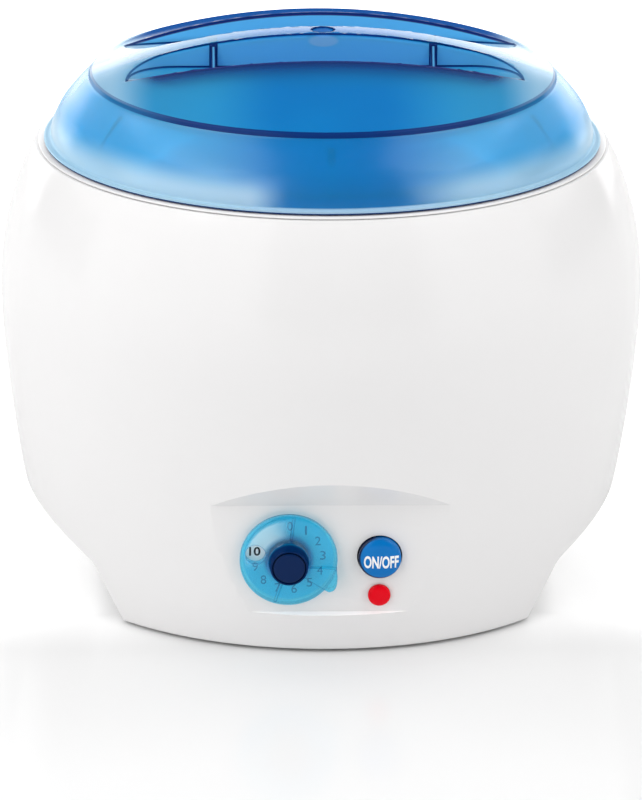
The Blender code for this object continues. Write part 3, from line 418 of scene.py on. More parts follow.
panel = {
    "y": -86.87, "z": 31.7, "lean": 5.5,
    "knob": (-12.7, 0), "button": (15.1, 0), "lamp": (15.1, -12.7),
    "holes": {"knob": 2.8, "button": 6.9, "lamp": 2.8},
    "screws": (-21.7, -3.7), "screwHole": 1.5, "screwSeat": 2.6,
}
inlet = {
    "y": 86.2, "z": 15, "pad": 10, "flat": 8.5, "reach": 13.8, "hole": 5.3,
    "grommet": [(3.2, 1.6), (3.7, 2.1), (6.9, 2.1), (7.4, 1.9), (7.6, 1.4), (7.6, 0.3), (5.0, 0.3),
                (5.0, -3.3), (6.5, -3.3), (6.5, -4.6), (6.3, -4.8), (3.5, -4.8), (3.2, -4.5)],
}


def panelPlace(x=0.0, y=0.0):
    # a place on the control panel's own axes, in mm
    return move(0, panel["y"], panel["z"]) @ spin(90 + panel["lean"], "X") @ move(x, y)


def inletPlace():
    # the middle of the cord inlet at the rear, facing backwards
    return move(0, inlet["y"], inlet["z"]) @ spin(-90, "X")


# Finishes

def glossyPlastic(name, colour, roughness=0.2, fleck=0.03, peel=0.02, glow=None, **more):
    # moulded plastic: a faint drift of tone, and a skin that is not quite flat
    shade = Shade(name)
    # glow, where given, paints light onto the surface as emission
    if glow:
        more = {**more, "Emission_Color": glow(shade), "Emission_Strength": 1.0}
    drift = shade.noise(18, 3)
    fine = shade.noise(900, 2)
    tone = shade.blend(drift.ramp(0.3, 0.7), colour, tuple(c * (1 - fleck) for c in colour))
    rough = drift * 0.06 + fine * 0.04 + (roughness - 0.05)
    skin = shade.bump(shade.noise(240, 2) + fine * 0.3, peel, 0.1 * mm)
    return shade.finish(Base_Color=tone, Roughness=rough, Normal=skin, **more)


def clearPlastic(name, colour, roughness, transmission, peel=0.02):
    # tinted plastic that light passes through, a little milky
    shade = Shade(name)
    drift = shade.noise(25, 3)
    tone = shade.blend(drift.ramp(0.3, 0.7), colour, tuple(c * 0.94 for c in colour))
    rough = drift * 0.04 + roughness
    skin = shade.bump(shade.noise(160, 2), peel, 0.1 * mm)
    return shade.finish(Base_Color=tone, Roughness=rough, Normal=skin,
                        Transmission_Weight=transmission, IOR=1.49)


def turnedMetal(name, colour, roughness=0.3, rings=900):
    # metal with fine marks that run round the upright axis
    shade = Shade(name)
    x, y, z = shade.axes()
    reach = (x * x + y * y) ** 0.5
    made = shade.node("ShaderNodeCombineXYZ", None, {"X": reach, "Y": z, "Z": 0.0})
    marks = shade.noise(rings, 2, spot=made["Vector"])
    cloud = shade.noise(30, 4)
    tone = shade.blend(cloud.ramp(0.3, 0.7), colour, tuple(c * 0.88 for c in colour))
    rough = marks * 0.12 + cloud * 0.1 + (roughness - 0.1)
    skin = shade.bump(marks, 0.15, 0.05 * mm)
    return shade.finish(Base_Color=tone, Roughness=rough, Normal=skin, Metallic=1.0)


def plainMetal(name, colour, roughness=0.3):
    shade = Shade(name)
    cloud = shade.noise(120, 4)
    scratch = shade.noise(600, 3, spot=shade.stretch((1, 1, 0.08)))
    tone = shade.blend(cloud.ramp(0.35, 0.7), colour, tuple(c * 0.82 for c in colour))
    skin = shade.bump(scratch, 0.12, 0.05 * mm)
    return shade.finish(Base_Color=tone, Roughness=cloud * 0.15 + (roughness - 0.05),
                        Normal=skin, Metallic=1.0)


def grainy(name, colour, roughness, grain, depth, dark=0.8):
    # rubber, felt, ceramic and pressed resin: a coarse or fine matt grain
    shade = Shade(name)
    cloud = shade.noise(40, 3)
    fine = shade.noise(grain, 4, 0.65)
    mix = cloud * 0.5 + fine * 0.5
    tone = shade.blend(mix.ramp(0.3, 0.7), tuple(c * dark for c in colour), colour)
    skin = shade.bump(fine, 0.4, depth * mm)
    return shade.finish(Base_Color=tone, Roughness=fine * 0.1 + (roughness - 0.05),
                        Normal=skin)


# painted light on the ledge below the panel: from where to where its glow fades in and out, in mm
paintedLedgeLight = {"face": (-84, -84.5), "foot": (12.0, 12.5), "head": (13.6, 14.0),
         "glow": (0.25, 0.24, 0.24)}


def ledgeGlow(shade):
    # painted light: an emission on the ledge's upward face, in place of the light it gathers from
    # the panel above it and from the room
    x, y, z = shade.axes()
    normal = shade.node("ShaderNodeNewGeometry")["Normal"]
    up = shade.node("ShaderNodeSeparateXYZ", None, {0: normal})["Z"].ramp(0.6, 0.8)
    mask = up * y.fade(*paintedLedgeLight["face"]) * z.fade(*paintedLedgeLight["foot"]) * z.fade(*paintedLedgeLight["head"], 1.0, 0.0)
    return shade.blend(mask, (0.0, 0.0, 0.0), paintedLedgeLight["glow"])


finishes = {
    "shell_white": glossyPlastic("shellWhite", hue(234, 233, 233), 0.17, 0.01, glow=ledgeGlow,
                                 Specular_IOR_Level=0.4),
    "base_white": glossyPlastic("baseWhite", hue(225, 225, 224), 0.45),
    "lid_blue": clearPlastic("lidBlue", (0.16, 0.60, 0.90), 0.04, 0.8),
    "knob_blue": clearPlastic("knobBlue", (0.30, 0.78, 0.95), 0.04, 0.85),
    "cap_navy": glossyPlastic("capNavy", hue(2, 34, 80), 0.3, Specular_IOR_Level=0.12),
    "button_blue": glossyPlastic("buttonBlue", hue(0, 112, 190), 0.15),
    "lamp_red": glossyPlastic("lampRed", hue(232, 0, 26), 0.2, Specular_IOR_Level=0.12),
    "dial_white": glossyPlastic("dialWhite", hue(248, 249, 250), 0.4),
    "rubber_grey": grainy("rubberGrey", hue(84, 84, 84), 0.8, 900, 0.1),
    "silicone": grainy("siliconeRed", hue(190, 110, 84), 0.6, 600, 0.04),
    "aluminium": turnedMetal("spunAluminium", hue(206, 207, 210), 0.34),
    "steel": plainMetal("steelSheet", hue(188, 188, 192), 0.3),
    "copper": plainMetal("copperTube", hue(206, 142, 104), 0.3),
    "felt": grainy("glassFelt", hue(222, 216, 196), 0.95, 500, 0.5),
    "phenolic": grainy("phenolicResin", hue(58, 50, 48), 0.5, 700, 0.03),
    "ceramic": grainy("ceramicBody", hue(224, 218, 206), 0.5, 500, 0.04, 0.92),
    "lead_brown": grainy("leadBrown", hue(104, 60, 34), 0.45, 900, 0.03),
    "lead_blue": grainy("leadBlue", hue(44, 82, 160), 0.45, 900, 0.03),
}
for part in frame["record"]["subparts"]:
    node = nodes[part["node"]]
    for slotNumber in range(len(node.material_slots)):
        node.material_slots[slotNumber].material = finishes[part["material_slot"]]
    if not node.material_slots:
        node.data.materials.append(finishes[part["material_slot"]])

print("finishes made:", len(finishes))


# Housing: a turned shell, less the coves, the panel and its holes

shell = {
    "outline": [(89.1, 138.6), (90.8, 135.5), (92.9, 130.9), (96.0, 122), (98.7, 110), (100, 96),
                (99.4, 80), (97.3, 60), (94.3, 40), (91.7, 27), (88.6, 14.1), (85.3, 2.3),
                (84.6, 1.2)],
    "widest": 100, "wall": 2.5, "coreHead": 145, "coreFoot": -4,
    "coveFoot": 62, "coveFlank": 17, "coveBend": 8, "coveFlankAngle": 62.5, "coveRoofAngle": 31,
    "coveEnd": 105, "coveDepth": 210,
    "panelAbove": 17.0, "panelBelow": 18.4, "panelWidth": 120, "panelReach": 18.1,
    "browAngle": 52.7,
    "around": 192,
}


def coveBlock(name, inset, side):
    flank, roof = shell["coveFlankAngle"], shell["coveRoofAngle"]
    bend, end = shell["coveBend"], shell["coveEnd"]
    x = shell["coveFoot"] + shell["coveFlank"] / math.tan(math.radians(flank))
    x += bend * math.sin(math.radians(flank))
    z = shell["coveFlank"] - bend * math.cos(math.radians(flank))
    line = arc(bend, 90 + flank, 90 + roof, 12, x, z)
    low = 5  # how far the block starts below the shell
    below = low / math.tan(math.radians(flank))
    far = line[-1][1] + (end - line[-1][0]) * math.tan(math.radians(roof))
    line = shiftLine([(shell["coveFoot"] - below, -low), *line, (end, far)], inset)
    outline = [(side * x, z) for x, z in [*line, (line[-1][0], line[0][1])]]
    return outlineBlock(name, outline, shell["coveDepth"], spin(90, "X"))


def panelBlock(name, inset):
    brow = math.radians(shell["browAngle"])
    low = -shell["panelBelow"] - inset
    high = shell["panelAbove"] + inset * math.tan(brow / 2)
    reach = shell["panelReach"]
    outline = [(-inset, low), (reach, low), (reach, high + (reach + inset) * math.tan(brow)),
               (-inset, high)]
    side = Matrix(((0, 0, 1, 0), (0, 1, 0, 0), (-1, 0, 0, 0), (0, 0, 0, 1)))
    return outlineBlock(name, [(-w, v) for w, v in outline], shell["panelWidth"],
                        panelPlace() @ side)


def makeHousing():
    outer = [(min(r, shell["widest"]), z) for r, z in smoothLine(shell["outline"], 5)]
    inner = [(r - shell["wall"], z) for r, z in smoothLine(shell["outline"], 2)]
    mouth, foot = shell["outline"][0][1], shell["outline"][-1][1]
    piece = turnPiece("housingShell", [(0, mouth), *outer, (0, foot)], shell["around"])
    head, end = shell["coreHead"], shell["coreFoot"]
    core = turnPiece("core", [(0, head), (inner[0][0], head), *inner, (inner[-1][0], end),
                              (0, end)], shell["around"])
    for side in (-1, 1):
        carve(piece, coveBlock("cove", 0, side))
        carve(core, coveBlock("coveWall", shell["wall"], side))
    carve(piece, panelBlock("panel", 0))
    carve(core, panelBlock("panelWall", shell["wall"]))
    carve(core, peg("inletPad", inlet["pad"], -3, inlet["reach"], inletPlace()))
    carve(piece, core)
    carve(piece, peg("inletFlat", inlet["flat"], 0, inlet["reach"], inletPlace()))
    carve(piece, peg("inletHole", inlet["hole"], -8, 5, inletPlace()))
    for control, radius in panel["holes"].items():
        carve(piece, peg("panelHole", radius, -5, 5, panelPlace(*panel[control]), 64))
    for x in panel["screws"]:
        carve(piece, peg("screwHole", panel["screwHole"], -5, 5, panelPlace(x)))
        carve(piece, peg("screwSeat", panel["screwSeat"], -1.6, 5, panelPlace(x)))
    shadeSmooth(piece, 22)
    return dress(piece, "shell_white", "warmer", "housing")


makeHousing()
print("housing made")


# Collar, gasket, well, pot, bail and cord inlet

collar = [(81.0, 139.3), (87.8, 139.3), (88.1, 139.2), (88.2, 139.1), (88.2, 138.85),
          (86.4, 138.85), (86.4, 132.0), (84.4, 132.0), (84.4, 136.0), (65.5, 136.0),
          (65.5, 133.0), (63.5, 133.0), (63.5, 137.2), (63.9, 137.6), (79.4, 137.6),
          (79.4, 141.7), (79.7, 142.0), (80.7, 142.0), (81.0, 141.7)]
gasket = [(64.5, 138.5), (64.7, 138.7), (69.3, 138.7), (69.5, 138.5), (69.5, 138.1),
          (69.3, 137.9), (64.7, 137.9), (64.5, 138.1)]
well = {
    "floor": (53.2, 51.7), "bend": (56, 57.7), "bendInside": 4.5, "bendOutside": 6,
    "rim": [(60.5, 139.4), (60.7, 139.9), (61.2, 140.2), (70.2, 140.2), (70.5, 139.9),
            (70.5, 139.3), (70.2, 139.0), (62.4, 139.0), (62.0, 138.6)],
}
pot = {
    "floor": (55.4, 54.2), "bend": (50.2, 62.2), "bendInside": 6.8, "bendOutside": 8,
    "rim": [(57.0, 141.0), (57.2, 141.4), (57.7, 141.7), (68.5, 141.7), (69.0, 141.4),
            (69.0, 140.8), (68.5, 140.5), (58.6, 140.5), (58.2, 140.1)],
    "edgeRound": 0.25,
    "earX": 66, "earFoot": 141.0, "earBend": 143.2, "earHalf": 4, "earThickness": 2,
    "earHole": 1.8, "pivot": 143.6,
}
bail = {"wire": 1.5, "bend": 4.5, "ring": 73, "end": 63.8}


def makeCollar():
    piece = turnPiece("collarRing", collar, shell["around"], ring=True)
    return dress(piece, "shell_white", "warmer", "top_collar")


def makeGasket():
    piece = turnPiece("flangeGasket", gasket, 128, ring=True)
    return dress(piece, "silicone", "warmer", "well_gasket")


def turnCup(name, cup):
    # a sheet metal cup: up its inside, over the rim and down its outside
    inside = arc(cup["bendInside"], -90, 0, 8, *cup["bend"])[1:]
    outside = arc(cup["bendOutside"], 0, -90, 8, *cup["bend"])
    top, under = cup["floor"]
    return turnPiece(name, [(0, top), *inside, *cup["rim"], *outside, (0, under)], 128)


def makeWell():
    return dress(turnCup("wellLiner", well), "aluminium", "warmer", "heating_well")


def makePot():
    piece = turnCup("potShell", pot)
    half, foot, pivot = pot["earHalf"], pot["earFoot"], pot["pivot"]
    ear = [(-half, foot), (half, foot), (half, pivot),
           *arc(half, 0, 180, 16, 0, pot["earBend"])[1:-1], (-half, pivot)]
    for side in (-1, 1):
        place = alongX(side * pot["earX"])
        carve(piece, outlineBlock("potEar", ear, pot["earThickness"], place), "UNION")
        hole = move(side * pot["earX"], 0, pivot) @ spin(90, "Y")
        carve(piece, peg("earHole", pot["earHole"], -4, 4, hole))
    softenEdges(piece, pot["edgeRound"], 2, 50)
    shadeSmooth(piece, 30)
    return dress(piece, "aluminium", "pot", "wax_pot")


def bentWire(name, points, radius):
    # a round wire along a line of points, with closed ends
    curve = bpy.data.curves.new(name, "CURVE")
    curve.dimensions = "3D"
    curve.bevel_depth = radius * mm
    curve.bevel_resolution = 6
    curve.use_fill_caps = True
    line = curve.splines.new("POLY")
    line.points.add(len(points) - 1)
    for point, place in zip(line.points, points):
        point.co = (*[value * mm for value in place], 1.0)
    piece = bpy.data.objects.new(name, curve)
    bpy.context.scene.collection.objects.link(piece)
    makeActive(piece)
    bpy.ops.object.convert(target="MESH")
    piece = bpy.context.object
    editAll(piece)
    bpy.ops.mesh.remove_doubles(threshold=0.01 * mm)
    closeEdit()
    return shadeSmooth(piece, 50)


def makeBail():
    bend, ring = bail["bend"], bail["ring"]
    start = math.degrees(math.asin(bend / (ring - bend)))
    centre = math.sqrt((ring - bend) ** 2 - bend ** 2)
    half = [(bail["end"], 0), *arc(bend, 90, -start, 10, centre, -bend),
            *arc(ring, -start, -90, 48)[1:]]
    line = half + [(-x, y) for x, y in half[-2::-1]]
    piece = bentWire("bailWire", [(x, y, pot["pivot"]) for x, y in line], bail["wire"])
    return dress(piece, "steel", "bail", "bail_handle")


def makeInlet():
    piece = turnPiece("cordGrommet", inlet["grommet"], 64, ring=True)
    settle(piece, inletPlace())
    return dress(piece, "rubber_grey", "warmer", "cord_inlet")


makeCollar()
makeGasket()
makeWell()
makePot()
makeBail()
makeInlet()
print("collar, well and pot made")


# Lid: a turned shell with finger wells, a grip bar between them, fins and a dimple

lid = {
    "edge": 139.6, "edgeRadius": 86.5, "edgeHeight": 1.1, "skirtRadius": 84.6,
    "ringHeight": 161.1, "ringRadius": 72.6, "step": 1.5, "stepSlope": 0.6, "crown": 13.2,
    "skirt": [(0, 1), (0.165, 0.95), (0.33, 0.845), (0.51, 0.69), (0.69, 0.47), (0.85, 0.245),
              (1, 0)],
    "wall": 2.2,
    "barHalf": 4.6, "wellHalf": 61, "cornerLength": 15, "cornerDepth": 16.4, "bow": 7.8,
    "floor": 163.5,
    "finX": 34, "finThickness": 1.6, "finFoot": 4.0, "finHead": 0.4, "finDrop": 0.8,
    "finRoot": 1.1, "finShoulder": (1.3, 2.4),
    "dimple": 3.4, "dimpleDepth": 2.4, "boss": 4.6, "bossDepth": 4.4,
    "ribs": 6, "ribDepth": 1.3, "ribWidth": 1.4, "ribFoot": 5, "ribHead": 4,
    "edgeRound": 0.5, "darkFoot": 0.45,
    "around": 192,
}
lidTop = lid["ringHeight"] + lid["crown"]


def lidSide():
    # outer side from the crown down to the foot of the skirt
    capRadius = lid["ringRadius"] - lid["stepSlope"]
    cap = [(capRadius * k / 18, lid["ringHeight"] + lid["crown"] * (1 - (k / 18) ** 2))
           for k in range(19)]
    low, high = lid["edge"] + lid["edgeHeight"], lid["ringHeight"] - lid["step"]
    reach = lid["skirtRadius"] - lid["ringRadius"]
    skirt = [(lid["ringRadius"] + reach * out, low + (high - low) * up)
             for up, out in lid["skirt"][::-1]]
    return [*cap, *smoothLine(skirt, 4)]


def wellOutline(inset, side):
    cornerX = lid["wellHalf"] - lid["cornerLength"]
    back = lid["barHalf"] + lid["cornerDepth"]
    quarter = math.pi / 2
    right = [(cornerX + lid["cornerLength"] * math.sin(quarter * k / 14),
              back - lid["cornerDepth"] * math.cos(quarter * k / 14)) for k in range(15)]
    bow = [(lid["wellHalf"] * (1 - t), back + lid["bow"] * (1 - (1 - t) ** 2))
           for t in [2 * k / 37 for k in range(1, 19)]]
    line = [(0, lid["barHalf"]), *right, *bow, (-bow[-1][0], bow[-1][1])]
    half = shiftLine(line, -inset)[1:-1]
    return [(x, side * y) for x, y in [*half, *[(-x, y) for x, y in half[::-1]]]]


def wellBlock(name, inset, side):
    low, high = lid["floor"] - inset, lidTop + 5
    return outlineBlock(name, wellOutline(inset, side), high - low, move(z=(low + high) / 2))


def finBlock(x, side):
    top = lidTop - lid["finDrop"] - lid["crown"] * (x / lid["ringRadius"]) ** 2
    bar, head, root, floor = lid["barHalf"], lid["finHead"], lid["finRoot"], lid["floor"]
    foot = bar + lid["finFoot"]
    out, down = lid["finShoulder"]
    line = [(bar - root, floor - root), (bar - root, top), (bar + head, top),
            (bar + out, top - down), (foot, floor + head), (foot, floor - root)]
    outline = [(side * y, z) for y, z in line]
    return outlineBlock("fin", outline, lid["finThickness"], alongX(x))


def ribBlock(angle):
    # a slim rib inside the skirt, which follows its wall
    reach = lid["wall"] + lid["ribDepth"]
    line = [(r, z) for r, z in shiftLine(lidSide(), -reach)
            if lid["edge"] + lid["ribFoot"] < z < lid["ringHeight"] - lid["ribHead"]]
    beyond = 95  # a radius outside the lid
    outline = [*line, (beyond, line[-1][1]), (beyond, line[0][1])]
    return outlineBlock("skirtRib", outline, lid["ribWidth"], spin(angle, "Z") @ spin(90, "X"))


def clearBlue(shade, tone, tint, amount, skin, rough, shine):
    # plastic that is part see-through and part milky, under a gloss that grows aslant
    milk = shade.node("ShaderNodeBsdfDiffuse", None, {"Color": tone, "Normal": skin})
    clear = shade.node("ShaderNodeBsdfTransparent", None, {"Color": tint})
    body = shade.node("ShaderNodeMixShader", None,
                      {0: amount, 1: clear["BSDF"], 2: milk["BSDF"]})
    gloss = shade.node("ShaderNodeBsdfGlossy", None,
                       {"Color": white, "Roughness": rough, "Normal": skin})
    mirror = shade.node("ShaderNodeFresnel", None, {"IOR": 1.5, "Normal": skin})["Fac"]
    both = shade.node("ShaderNodeMixShader", None,
                      {0: mirror.atMost(0.5) * shine, 1: body["Shader"], 2: gloss["BSDF"]})
    return shade.surface(both["Shader"])


lidTones = {
    "body": (0.0, 0.33, 0.86), "bodyClouds": (0.0, 0.38, 0.93), "aside": (0.05, 0.60, 1.0),
    "besideWell": (0.0, 0.03, 0.18), "wellWall": (0.14, 0.60, 1.0), "wellTip": (0.75, 0.88, 1.0),
    "aslant": (0.0, 0.07, 0.30), "wellLip": (0.03, 0.03, 0.17), "dimple": (0.34, 0.68, 1.0),
    "pale": (0.64, 0.88, 1.0), "edge": (0.004, 0.03, 0.16), "clear": (0.03, 0.66, 0.98),
}


def lidMaterial():
    # deeper in its edges and where it is seen aslant, with painted shade beside the finger wells
    # and painted light and sheen on its sides, wells, dimple, skirt foot and cap ends; places in
    # mm
    shade = Shade("lidBlue")
    tones = lidTones
    edge = shade.node("ShaderNodeAttribute", {"attribute_name": "edge"})["Fac"]
    cloud = shade.noise(14, 2)
    x, y, z = shade.axes()
    long, wide = x.size(), y.size()
    bow = (x / (lid["wellHalf"] * mm)) ** 2 * (-lid["bow"] * mm) + (
        lid["barHalf"] + lid["cornerDepth"] + lid["bow"]) * mm
    outside = wide - bow  # from the bowed side of a well outwards
    depth = (x * x + y * y) * (-lid["crown"] / mm / lid["ringRadius"] ** 2) + lidTop * mm - z

    tone = shade.blend(cloud.ramp(0.35, 0.65), tones["body"], tones["bodyClouds"])
    # painted light: lighter towards its left and right
    aside = x.fade(-40, -14, 1.0, 0.0).atLeast(x.fade(16, 44))
    tone = shade.blend(aside * 0.7, tone, tones["aside"])

    # painted shade on the band outside each well, where the well's wall shows through the cap, and
    # painted light on the walls within and on the wells' pointed tips
    paintedShadeBesideWell = outside.fade(1, 19, 1.0, 0.0) * outside.fade(-2, 0) * long.fade(
        52, 66, 1.0, 0.0) * z.fade(163, 166)
    tone = shade.blend(paintedShadeBesideWell, tone, tones["besideWell"])
    # painted light: the walls within the wells are paler
    paintedWallLight = depth.fade(0.3, 1.2) * long.fade(61, 62, 1.0, 0.0) * (
        outside.fade(0.2, 0.5, 1.0, 0.0) * wide.fade(4.1, 4.5))
    paintedWallLight = paintedWallLight * z.fade(163.6, 164.2)
    tone = shade.blend(paintedWallLight, tone, tones["wellWall"])
    # painted sheen: the wells' pointed tips are paler
    paintedTipSheen = long.fade(45, 52) * y.fade(4, 5) * outside.fade(-1.0, -0.2, 1.0, 0.0) * z.fade(
        163.0, 163.4)
    tone = shade.blend(paintedTipSheen * 0.55, tone, tones["wellTip"])
    # the dark edges are lightened under the painted tip sheen and at the lid's left and right
    # ends, where painted light falls
    edge = edge * (1 - paintedTipSheen * 0.4) * (1 - long.fade(42, 73) * z.fade(150, 155) * 0.3)

    # the strip behind the wells, where the plastic is looked through lengthwise
    facing = shade.node("ShaderNodeLayerWeight", None, {"Blend": 0.5})["Facing"]
    far = facing.ramp(0.80, 0.90) * z.fade(161.2, 163)
    tone = shade.blend(far, tone, tones["aslant"])

    # the dark lip of each well, and painted light round the dimple in the bar
    lip = outside.fade(-0.8, -0.2) * outside.fade(0.5, 1.5, 1.0, 0.0) * (
        long.fade(60, 63, 1.0, 0.0) * depth.fade(0.8, 1.3, 1.0, 0.0))
    tone = shade.blend(lip, tone, tones["wellLip"])
    # painted light: paler round the dimple
    cup = ((x / (5 * mm)) ** 2 + ((z - (lidTop - 2.5) * mm) / (2.0 * mm)) ** 2).ramp(
        0.5, 1.1, 1.0, 0.0) * wide.fade(5, 6, 1.0, 0.0)
    tone = shade.blend(cup * 0.7, tone, tones["dimple"])

    # painted light: paler low on the skirt, at the foot of its rim, and at the ends of the cap
    sides = x.fade(-26, -12, 1.0, 0.0).atLeast(x.fade(19, 44, 0.0, 0.85))
    pale = (z.fade(143.5, 151.5, 1.0, 0.0) * sides * 0.75).atLeast(
        z.fade(140.9, 141.4, 0.75, 0.0)).atLeast(
            long.fade(52, 67, 0.0, 0.6) * z.fade(160.5, 161.1))
    tone = shade.blend(pale, tone, tones["pale"])
    tone = shade.blend(edge, tone, tones["edge"])
    skin = shade.bump(shade.noise(60, 2), 0.03, 0.2 * mm)

    # how milky it is
    slant = shade.node("ShaderNodeLayerWeight", None, {"Blend": 0.3})["Facing"]
    amount = (slant * 0.25 + edge * 0.5 + paintedShadeBesideWell * 0.35 + paintedWallLight * 0.25 + far * 0.5
              + lip * 0.4 + pale * 0.35 + paintedTipSheen * 0.3 + 0.36).atMost(1.0)

    # how glossy it is: less in the edges, more on the foot, the cap's ends and the bar
    shine = (1 - edge * 0.8) * (1 - far * 0.98) * (1 - lip * 0.7)
    ends = long.fade(30, 58) * z.fade(160.0, 160.8)
    bar = wide.fade(4.6, 5.0, 1.0, 0.0) * depth.fade(0.4, 0.8, 1.0, 0.0)
    shine = shine * (z.fade(141.2, 142.5) * z.fade(143, 153, 1.0, 0.0) + ends * 0.35
                     + bar * 0.5 + 1.0)
    flank = long.fade(60, 78) * z.fade(147, 156, 1.0, 0.0)
    shine = shine * (1 - flank * 0.5)
    return clearBlue(shade, tone, tones["clear"], amount, skin, cloud * 0.05 + 0.2, shine)


def markEdges(piece, width, segments=2, angle=35, dark=lambda centre, rounded: rounded):
    # rounds the sharp edges and notes the dark faces, for the material to read
    piece.data.materials.clear()
    piece.data.materials.append(None)
    piece.data.materials.append(None)
    for face in piece.data.polygons:
        face.material_index = 0
    softenEdges(piece, width, segments, angle, loop_slide=False, use_clamp_overlap=False,
                material=1)
    note = piece.data.attributes.new("edge", "FLOAT", "FACE")
    for face, value in zip(piece.data.polygons, note.data):
        value.value = float(dark(face.center / mm, face.material_index == 1))
        face.material_index = 0
    return piece


def darkOnLid(centre, rounded):
    # the step ring, the foot of the rim, and all sharp edges above it
    reach = centre.xy.length
    if reach > lid["ringRadius"] + 3:
        return centre.z < lid["edge"] + lid["darkFoot"]
    onStep = abs(centre.z + lid["step"] / 2 - lid["ringHeight"]) < lid["step"] / 2 + 0.1
    return rounded or (onStep and reach > lid["ringRadius"] - 0.9)


def makeLid():
    side = lidSide()
    skirtLow = lid["edge"] + lid["edgeHeight"]
    outer = [*side, (lid["edgeRadius"], skirtLow), (lid["edgeRadius"], lid["edge"])]
    piece = turnPiece("lidShell", [*outer, (0, lid["edge"])], lid["around"])
    inner = shiftLine(side, -lid["wall"])
    inner = [(max(r, 0.0), z) for r, z in inner if z > skirtLow]
    inner[0] = (0, inner[0][1])
    low = lid["edge"] - 5  # below the lid, so that it opens downwards
    core = turnPiece("lidCore", [*inner, (inner[-1][0], low), (0, low)], lid["around"])
    for side in (-1, 1):
        carve(piece, wellBlock("fingerWell", 0, side))
        carve(core, wellBlock("fingerWellWall", lid["wall"], side))
    carve(core, peg("dimpleBoss", lid["boss"], lidTop - lid["bossDepth"], lidTop + 2))
    for k in range(lid["ribs"]):
        carve(core, ribBlock(-90 + 360 * k / lid["ribs"]))
    carve(piece, core)
    for side in (-1, 1):
        for x in (-lid["finX"], lid["finX"]):
            carve(piece, finBlock(x, side), "UNION")
    carve(piece, peg("dimpleHole", lid["dimple"], lidTop - lid["dimpleDepth"], lidTop + 5))
    markEdges(piece, lid["edgeRound"], dark=darkOnLid)
    shadeSmooth(piece, 30)
    evenNormals(piece)
    return dress(piece, "lid_blue", "lid", "lid", material=lidMaterial())


makeLid()
print("lid made")


# Controls, on the panel's own axes

knob = {
    "profile": [(0, 7.6), (5.1, 7.6), (5.1, 8.7), (5.3, 8.9), (5.45, 8.9), (5.7, 8.65), (6.0, 5.6),
                (6.15, 4.7), (6.6, 4.25), (7.4, 4.12), (13.9, 3.5), (14.6, 3.25), (14.9, 2.9),
                (14.9, 1.5), (14.6, 1.2), (3.7, 1.2), (3.7, 6.6), (0, 6.6)],
    "cap": [(0, 9.1), (4.2, 9.08), (4.6, 9.0), (4.8, 8.8), (4.8, 7.9), (0, 7.9)],
    "radius": 14.9, "edgeRound": 0.18,
    "lever": [(0.20, -0.10), (0.90, -0.14), (0.985, -0.23), (0.99, -0.47), (0.945, -0.60),
              (0.87, -0.65), (0.765, -0.635), (0.34, -0.35), (0.10, -0.20)],
    "leverThickness": 3.1, "leverMiddle": 3.35,
    "window": 3.05, "windowRing": 10.4, "windowAngle": 167,
    "pointerAngles": (84, -107), "pointer": ((6.6, -0.35, 3.3), (14.2, 0.35, 6)),
}
knobTones = {
    "shade": (0.0, 0.26, 0.6), "body": (0.07, 0.64, 1.0), "sheen": (0.70, 0.92, 1.0),
    "edge": (0.0, 0.13, 0.44), "hub": hue(3, 36, 84),
    "clear": (0.38, 0.90, 1.0), "clearShade": (0.08, 0.55, 0.82),
}
dial = {
    "profile": [(4, 0.7), (4.1, 0.8), (13.75, 0.8), (13.9, 0.65), (13.9, 0.2), (4, 0.2)],
    "face": 0.8, "ring": 10.5, "height": 2.9, "width": 1.7, "widths": {1: 0.6, 10: 3.4},
    "firstAngle": 88, "stepAngle": 28, "ink": 0.05,
    "shownX": (-20.4, -20), "shownZ": (31.2, 31.6),
}
button = {
    "radius": 6.5, "side": 1.9, "dome": 1.6, "foot": -4, "socket": 2.3,
    "label": "ON/OFF", "labelHeight": 4.1, "labelWidth": 10.6, "labelPlace": (0.4, -0.6),
    "ink": 0.06, "shadeFrom": (0.35, 0.1),
}
lamp = {"radius": 3.45, "side": 1.0, "dome": 1.0, "foot": 0.3, "stem": 2.5, "stemFoot": -4.2}


def letters(name, words, height, width, weight):
    # words as a flat mesh, centred and made to a height and width in mm
    deselectAll()
    bpy.ops.object.text_add()
    piece = bpy.context.object
    piece.name = name
    piece.data.body = words
    piece.data.offset = weight
    piece.data.resolution_u = 6
    bpy.ops.object.convert(target="MESH")
    piece = bpy.context.object
    xs = [v.co.x for v in piece.data.vertices]
    ys = [v.co.y for v in piece.data.vertices]
    middle = Matrix.Translation((-(min(xs) + max(xs)) / 2, -(min(ys) + max(ys)) / 2, 0))
    tall = height * mm / (max(ys) - min(ys))
    wide = width * mm / (max(xs) - min(xs))
    piece.data.transform(Matrix.Diagonal((wide, tall, 1, 1)) @ middle)
    return piece


def thicken(piece, depth):
    editAll(piece)
    bpy.ops.mesh.remove_doubles(threshold=0.001 * mm)
    bpy.ops.mesh.extrude_region_move(TRANSFORM_OT_translate={"value": (0, 0, depth * mm)})
    closeEdit()
    return piece


